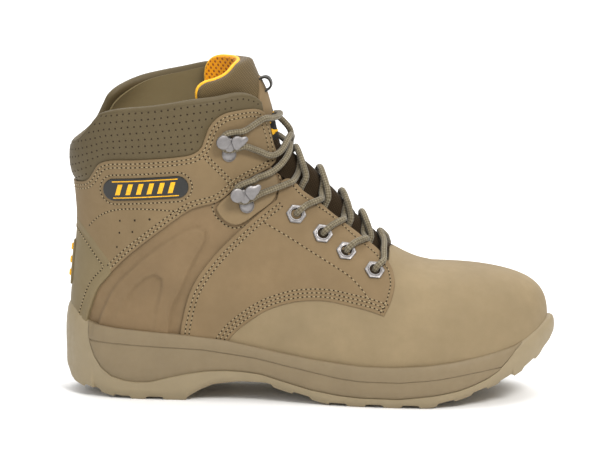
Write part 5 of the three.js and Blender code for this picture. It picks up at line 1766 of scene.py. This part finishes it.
def outsole():
    """One closed body: the wall, the tread under it and the hollow's floor."""
    rings = outsole_rings()
    rows = tread_rows(rings[0][:n_st], rings[0][med_index])
    base, floor_base = len(rings) * n_ring, (len(rings) - 1) * n_ring
    lateral, medial = np.arange(n_st), med_index
    columns = [lateral] + [base + j * n_st + lateral for j in range(ACROSS - 1)] + [medial]
    hollow = [floor_base + medial, floor_base + lateral]
    faces = bands(len(rings), n_ring) + strips(np.array(columns).tolist()) + strips(np.array(hollow).tolist())
    make("outsole_tread", np.vstack(rings + rows), faces, MAT["outsole"], slot="outsole",
         replaces=["outsole"], sharp=38)


# Share of the height and inset, from the split up to the groove, and from the groove up over the rim
BELOW_GROOVE = [(0, -0.9), (0.06, -0.25), (0.2, 0.05), (0.5, 0.05), (0.8, -0.1), (0.95, -0.3), (1, -0.55)]
OVER_GROOVE = [(0.06, 0.3), (0.3, 0.6), (0.6, 0.65), (0.85, 0.55), (0.96, 0.3), (1, -0.2)]


def midsole_side(side):
    """Half of the foam midsole, on the outsole's lip: a flat wall, a groove, and a round rim over it."""
    k = all_k[:n_st] if side < 0 else med_index
    k = k[(stations >= mid_from - 1e-6) & (stations <= mid_to + 1e-6)]
    i = ring_i[k]
    high = top_z[i]
    low = np.minimum(split_z[i], high - 0.05)
    groove = np.clip(groove_z[i], low + 0.15, high - 0.15)
    levels = [(low + (groove - low) * share, inset) for share, inset in BELOW_GROOVE]
    levels += [(groove + (high - groove) * share, inset) for share, inset in OVER_GROOVE]
    thin = np.clip((high - low) / 4, 0, 1)
    loops = [wall_point(k, z, inset * thin) for z, inset in levels]
    inward = np.minimum(9.0, np.abs(ring_pts[k, 1] - centre[i]) * 0.75)
    inner = ring_pts[k] - ring_out[k] * inward[:, None]
    loops += [np.c_[inner, high - 0.6], np.c_[inner, np.maximum(low - 0.1, low_z[i] + 1)]]
    n, count = len(k), len(loops)
    faces = [(a * n + j, a * n + j + 1, b * n + j + 1, b * n + j)
             for a, b in zip(range(count), list(range(1, count)) + [0]) for j in range(n - 1)]
    faces += [tuple(range(0, count * n, n))[::-1], tuple(range(n - 1, count * n, n))]
    return np.vstack(loops), faces if side < 0 else [f[::-1] for f in faces]


outsole()
v, f = merge([midsole_side(-1), midsole_side(1)])
make("midsole_foam", v, f, MAT["midsole"], slot="midsole", replaces=["midsole"], sharp=40)

FOOTBED_THICK = 3.0


def footbed():
    """A cloth-topped inlay with a raised rim."""
    xs = np.concatenate([np.linspace(9, 30, 9), np.linspace(36, 270, 40), np.linspace(274, 296, 10)])
    st = locate(np.c_[xs, table(FEATHER, xs) + 3.4])
    edges = {side: on_form(st[:, 0], side * st[:, 1], -6.6) for side in SIDES}
    top = []
    for w in np.linspace(0, 1, 15):
        rise = 1.6 * (2 * w - 1) ** 4 - 0.6
        top.append(edges[-1] * (1 - w) + edges[1] * w + [0, 0, rise])
    rings = np.stack(top[::-1] + [line - [0, 0, FOOTBED_THICK] for line in top], 1)
    count, sides = rings.shape[:2]
    last = (count - 1) * sides
    ends = [(j, sides - 1 - j, sides - 2 - j, j + 1) for j in range(sides // 2 - 1)]
    ends += [(last + a, last + d, last + c, last + b) for a, b, c, d in ends]
    make("footbed_inlay", rings.reshape(-1, 3), bands(count, sides) + ends, MAT["footbed"], slot="footbed",
         replaces=["footbed"], sharp=50)


footbed()

# ---------------------------------------------------------------- hardware
DOME_RINGS = (0.75, 0.45, 0.2)


def extruded(outline, z0, z1, bevel=0.3, hole=None, dome=0.0):
    """A plate with bevelled edges from a closed 2-D outline, with an optional matching inner ring."""
    p = np.asarray(outline, float)
    n = len(p)
    d = unit(np.roll(p, -1, 0) - np.roll(p, 1, 0))
    out = np.stack([d[:, 1], -d[:, 0]], 1)
    levels = [(p - out * bevel * 0.2, z0), (p, z0 + bevel * 0.5), (p, z1 - bevel),
              (p - out * bevel * 0.35, z1 - bevel * 0.3), (p - out * bevel, z1)]
    if hole is not None:
        levels += [(hole + unit(hole) * bevel, z1), (hole, z1 - bevel * 0.6), (hole, z0)]
        return np.vstack([np.c_[q, np.full(n, z)] for q, z in levels]), bands(len(levels), n, wrap=True)
    c, inner = p.mean(0), levels[-1][0]
    levels += [(c + (inner - c) * w, z1 + dome * (1 - w * w)) for w in DOME_RINGS]
    verts = np.vstack([np.c_[q, np.full(n, z)] for q, z in levels] + [[*c, z1 + dome], [*c, z0]])
    faces = bands(len(levels), n)
    top, m = (len(levels) - 1) * n, len(verts) - 2
    for k in range(n):
        k2 = (k + 1) % n
        faces += [(top + k, top + k2, m), (k2, k, m + 1)]
    return verts, faces


def hexagon(radius, corner=1.0, per=5):
    """A hexagon with rounded corners."""
    pts = []
    for i in range(6):
        a = PI / 3 * i
        c = np.array([math.cos(a), math.sin(a)]) * (radius - corner * 1.155 + 0.155)
        for b in np.linspace(a - PI / 6, a + PI / 6, per):
            pts.append(c + corner * np.array([math.cos(b), math.sin(b)]))
    return np.array(pts)


EYELET_TUBE = [[3.55, -2.2], [4.0, -2.2], [4.0, 1.6], [4.35, 2.1], [4.1, 2.45], [3.6, 2.4], [3.2, 1.9],
               [3.1, 0.5], [3.1, -2.2]]
RIVET = [[1.9, -4.2], [1.9, 0.8], [3.9, 0.9], [4.1, 1.15], [3.95, 1.5], [3.4, 1.95], [2.4, 2.35],
         [1.2, 2.55], [0.3, 2.6]]
TURNED_SIDES = 28
EYELET_HEX, EYELET_BORE, WELL_R = 6.3, 3.9, 3.16


def eyelet_parts():
    """A hexagonal plate and the rolled tube through it."""
    plate = hexagon(EYELET_HEX)
    return [extruded(plate, 0.9, 2.0, hole=unit(plate) * EYELET_BORE),
            turned(EYELET_TUBE, TURNED_SIDES, ring=True)]


def blob(lobes, n, soft):
    """Outline round several discs (x, y, r), with filled necks."""
    lobes = np.array(lobes, float)
    middle = lobes[:, :2].mean(0)
    pts = []
    for d in circle(1, n):
        low, high = 0.0, 20.0
        for _ in range(24):
            m = (low + high) / 2
            gap = np.linalg.norm(middle + d * m - lobes[:, :2], axis=1) - lobes[:, 2]
            low, high = (m, high) if np.exp(-soft * gap).sum() > 1 else (low, m)
        pts.append(middle + d * low)
    return np.array(pts)


HOOK_BASE = [(0, -8.8, 4.6), (-0.6, -2.6, 3.2), (-1.6, 1.0, 3.4)]
HOOK_WEB = [(-1.2, -3.2, 2.7), (-2.6, 0.4, 2.6), (1.6, -1.0, 2.4)]
HOOK_EAR = [(2.6, 0.4, 2.4), (3.4, -3.0, 2.2), (9.4, 0.9, 1.6), (4.2, 1.2, 1.9), (6.6, -0.6, 2.4)]
HOOK_LOBE = (-5.0, 0.6)


def hook_parts(mirror):
    """Base with the rivet's eye, neck, and a three-lobed top that holds the lace down."""
    def flip(pts):
        return (pts * [-1, 1])[::-1] if mirror else pts

    return [extruded(flip(blob(HOOK_BASE, 60, 1.0)), -2.2, 0.9, 0.35),
            extruded(flip(circle(2.4, 24)), 0.6, 6.2, 0.2),
            extruded(flip(blob(HOOK_WEB, 48, 0.8)), 5.75, 6.7, 0.4),
            extruded(flip(circle(4.5, 40, 0, HOOK_LOBE)), 5.9, 7.5, 0.6, dome=0.35),
            extruded(flip(blob(HOOK_EAR, 56, 1.1)), 5.9, 7.7, 0.6, dome=0.4)]


def metal_piece(kind, node, ending, axes, body):
    """One metal fitting, placed by its axes, in place of its CAD node."""
    v, f = body
    make(f"{kind}_metal_{ending}", local(axes, v), f, MAT["metal"], slot="hook_metal",
         replaces=[f"{node}_{ending}"], sharp=35)


# a dark disc in each eyelet's bore: painted shade where the eyelet is open
wells = []
for side, word in SIDES.items():
    for i, spot in enumerate(EYELET_SPOTS):
        axes = frame_at(*spot, side)
        v, f = extruded(circle(WELL_R, 24), -2.1, 0.9, 0.05)
        wells.append((local(axes, v), f))
        metal_piece("eyelet", "eyelet", f"{word}_{i + 1}", axes, merge(eyelet_parts()))
    for i in range(len(HOOK_SPOTS)):
        axes = hook_axes(i, side)
        metal_piece("hook", "hook", f"{word}_{i + 1}", axes, merge(hook_parts(side > 0)))
        v, f = turned(RIVET, TURNED_SIDES)
        metal_piece("rivet", "hook_rivet", f"{word}_{i + 1}", axes, (v - [0, RIVET_DROP, 0], f))

v, f = merge(wells)
make("eyelet_bore_shade", v, f, MAT["hole"], slot="board", sharp=30)

# hidden structure keeps its CAD shape, with its own finish
for node, key in (("steel_toe_cap", "steel"), ("puncture_plate", "steel"), ("heel_counter", "board"),
                  ("insole_board", "board"), ("toe_cap_edge_strip", "footbed")):
    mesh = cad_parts[node].data
    mesh.materials.clear()
    mesh.materials.append(MAT[key])
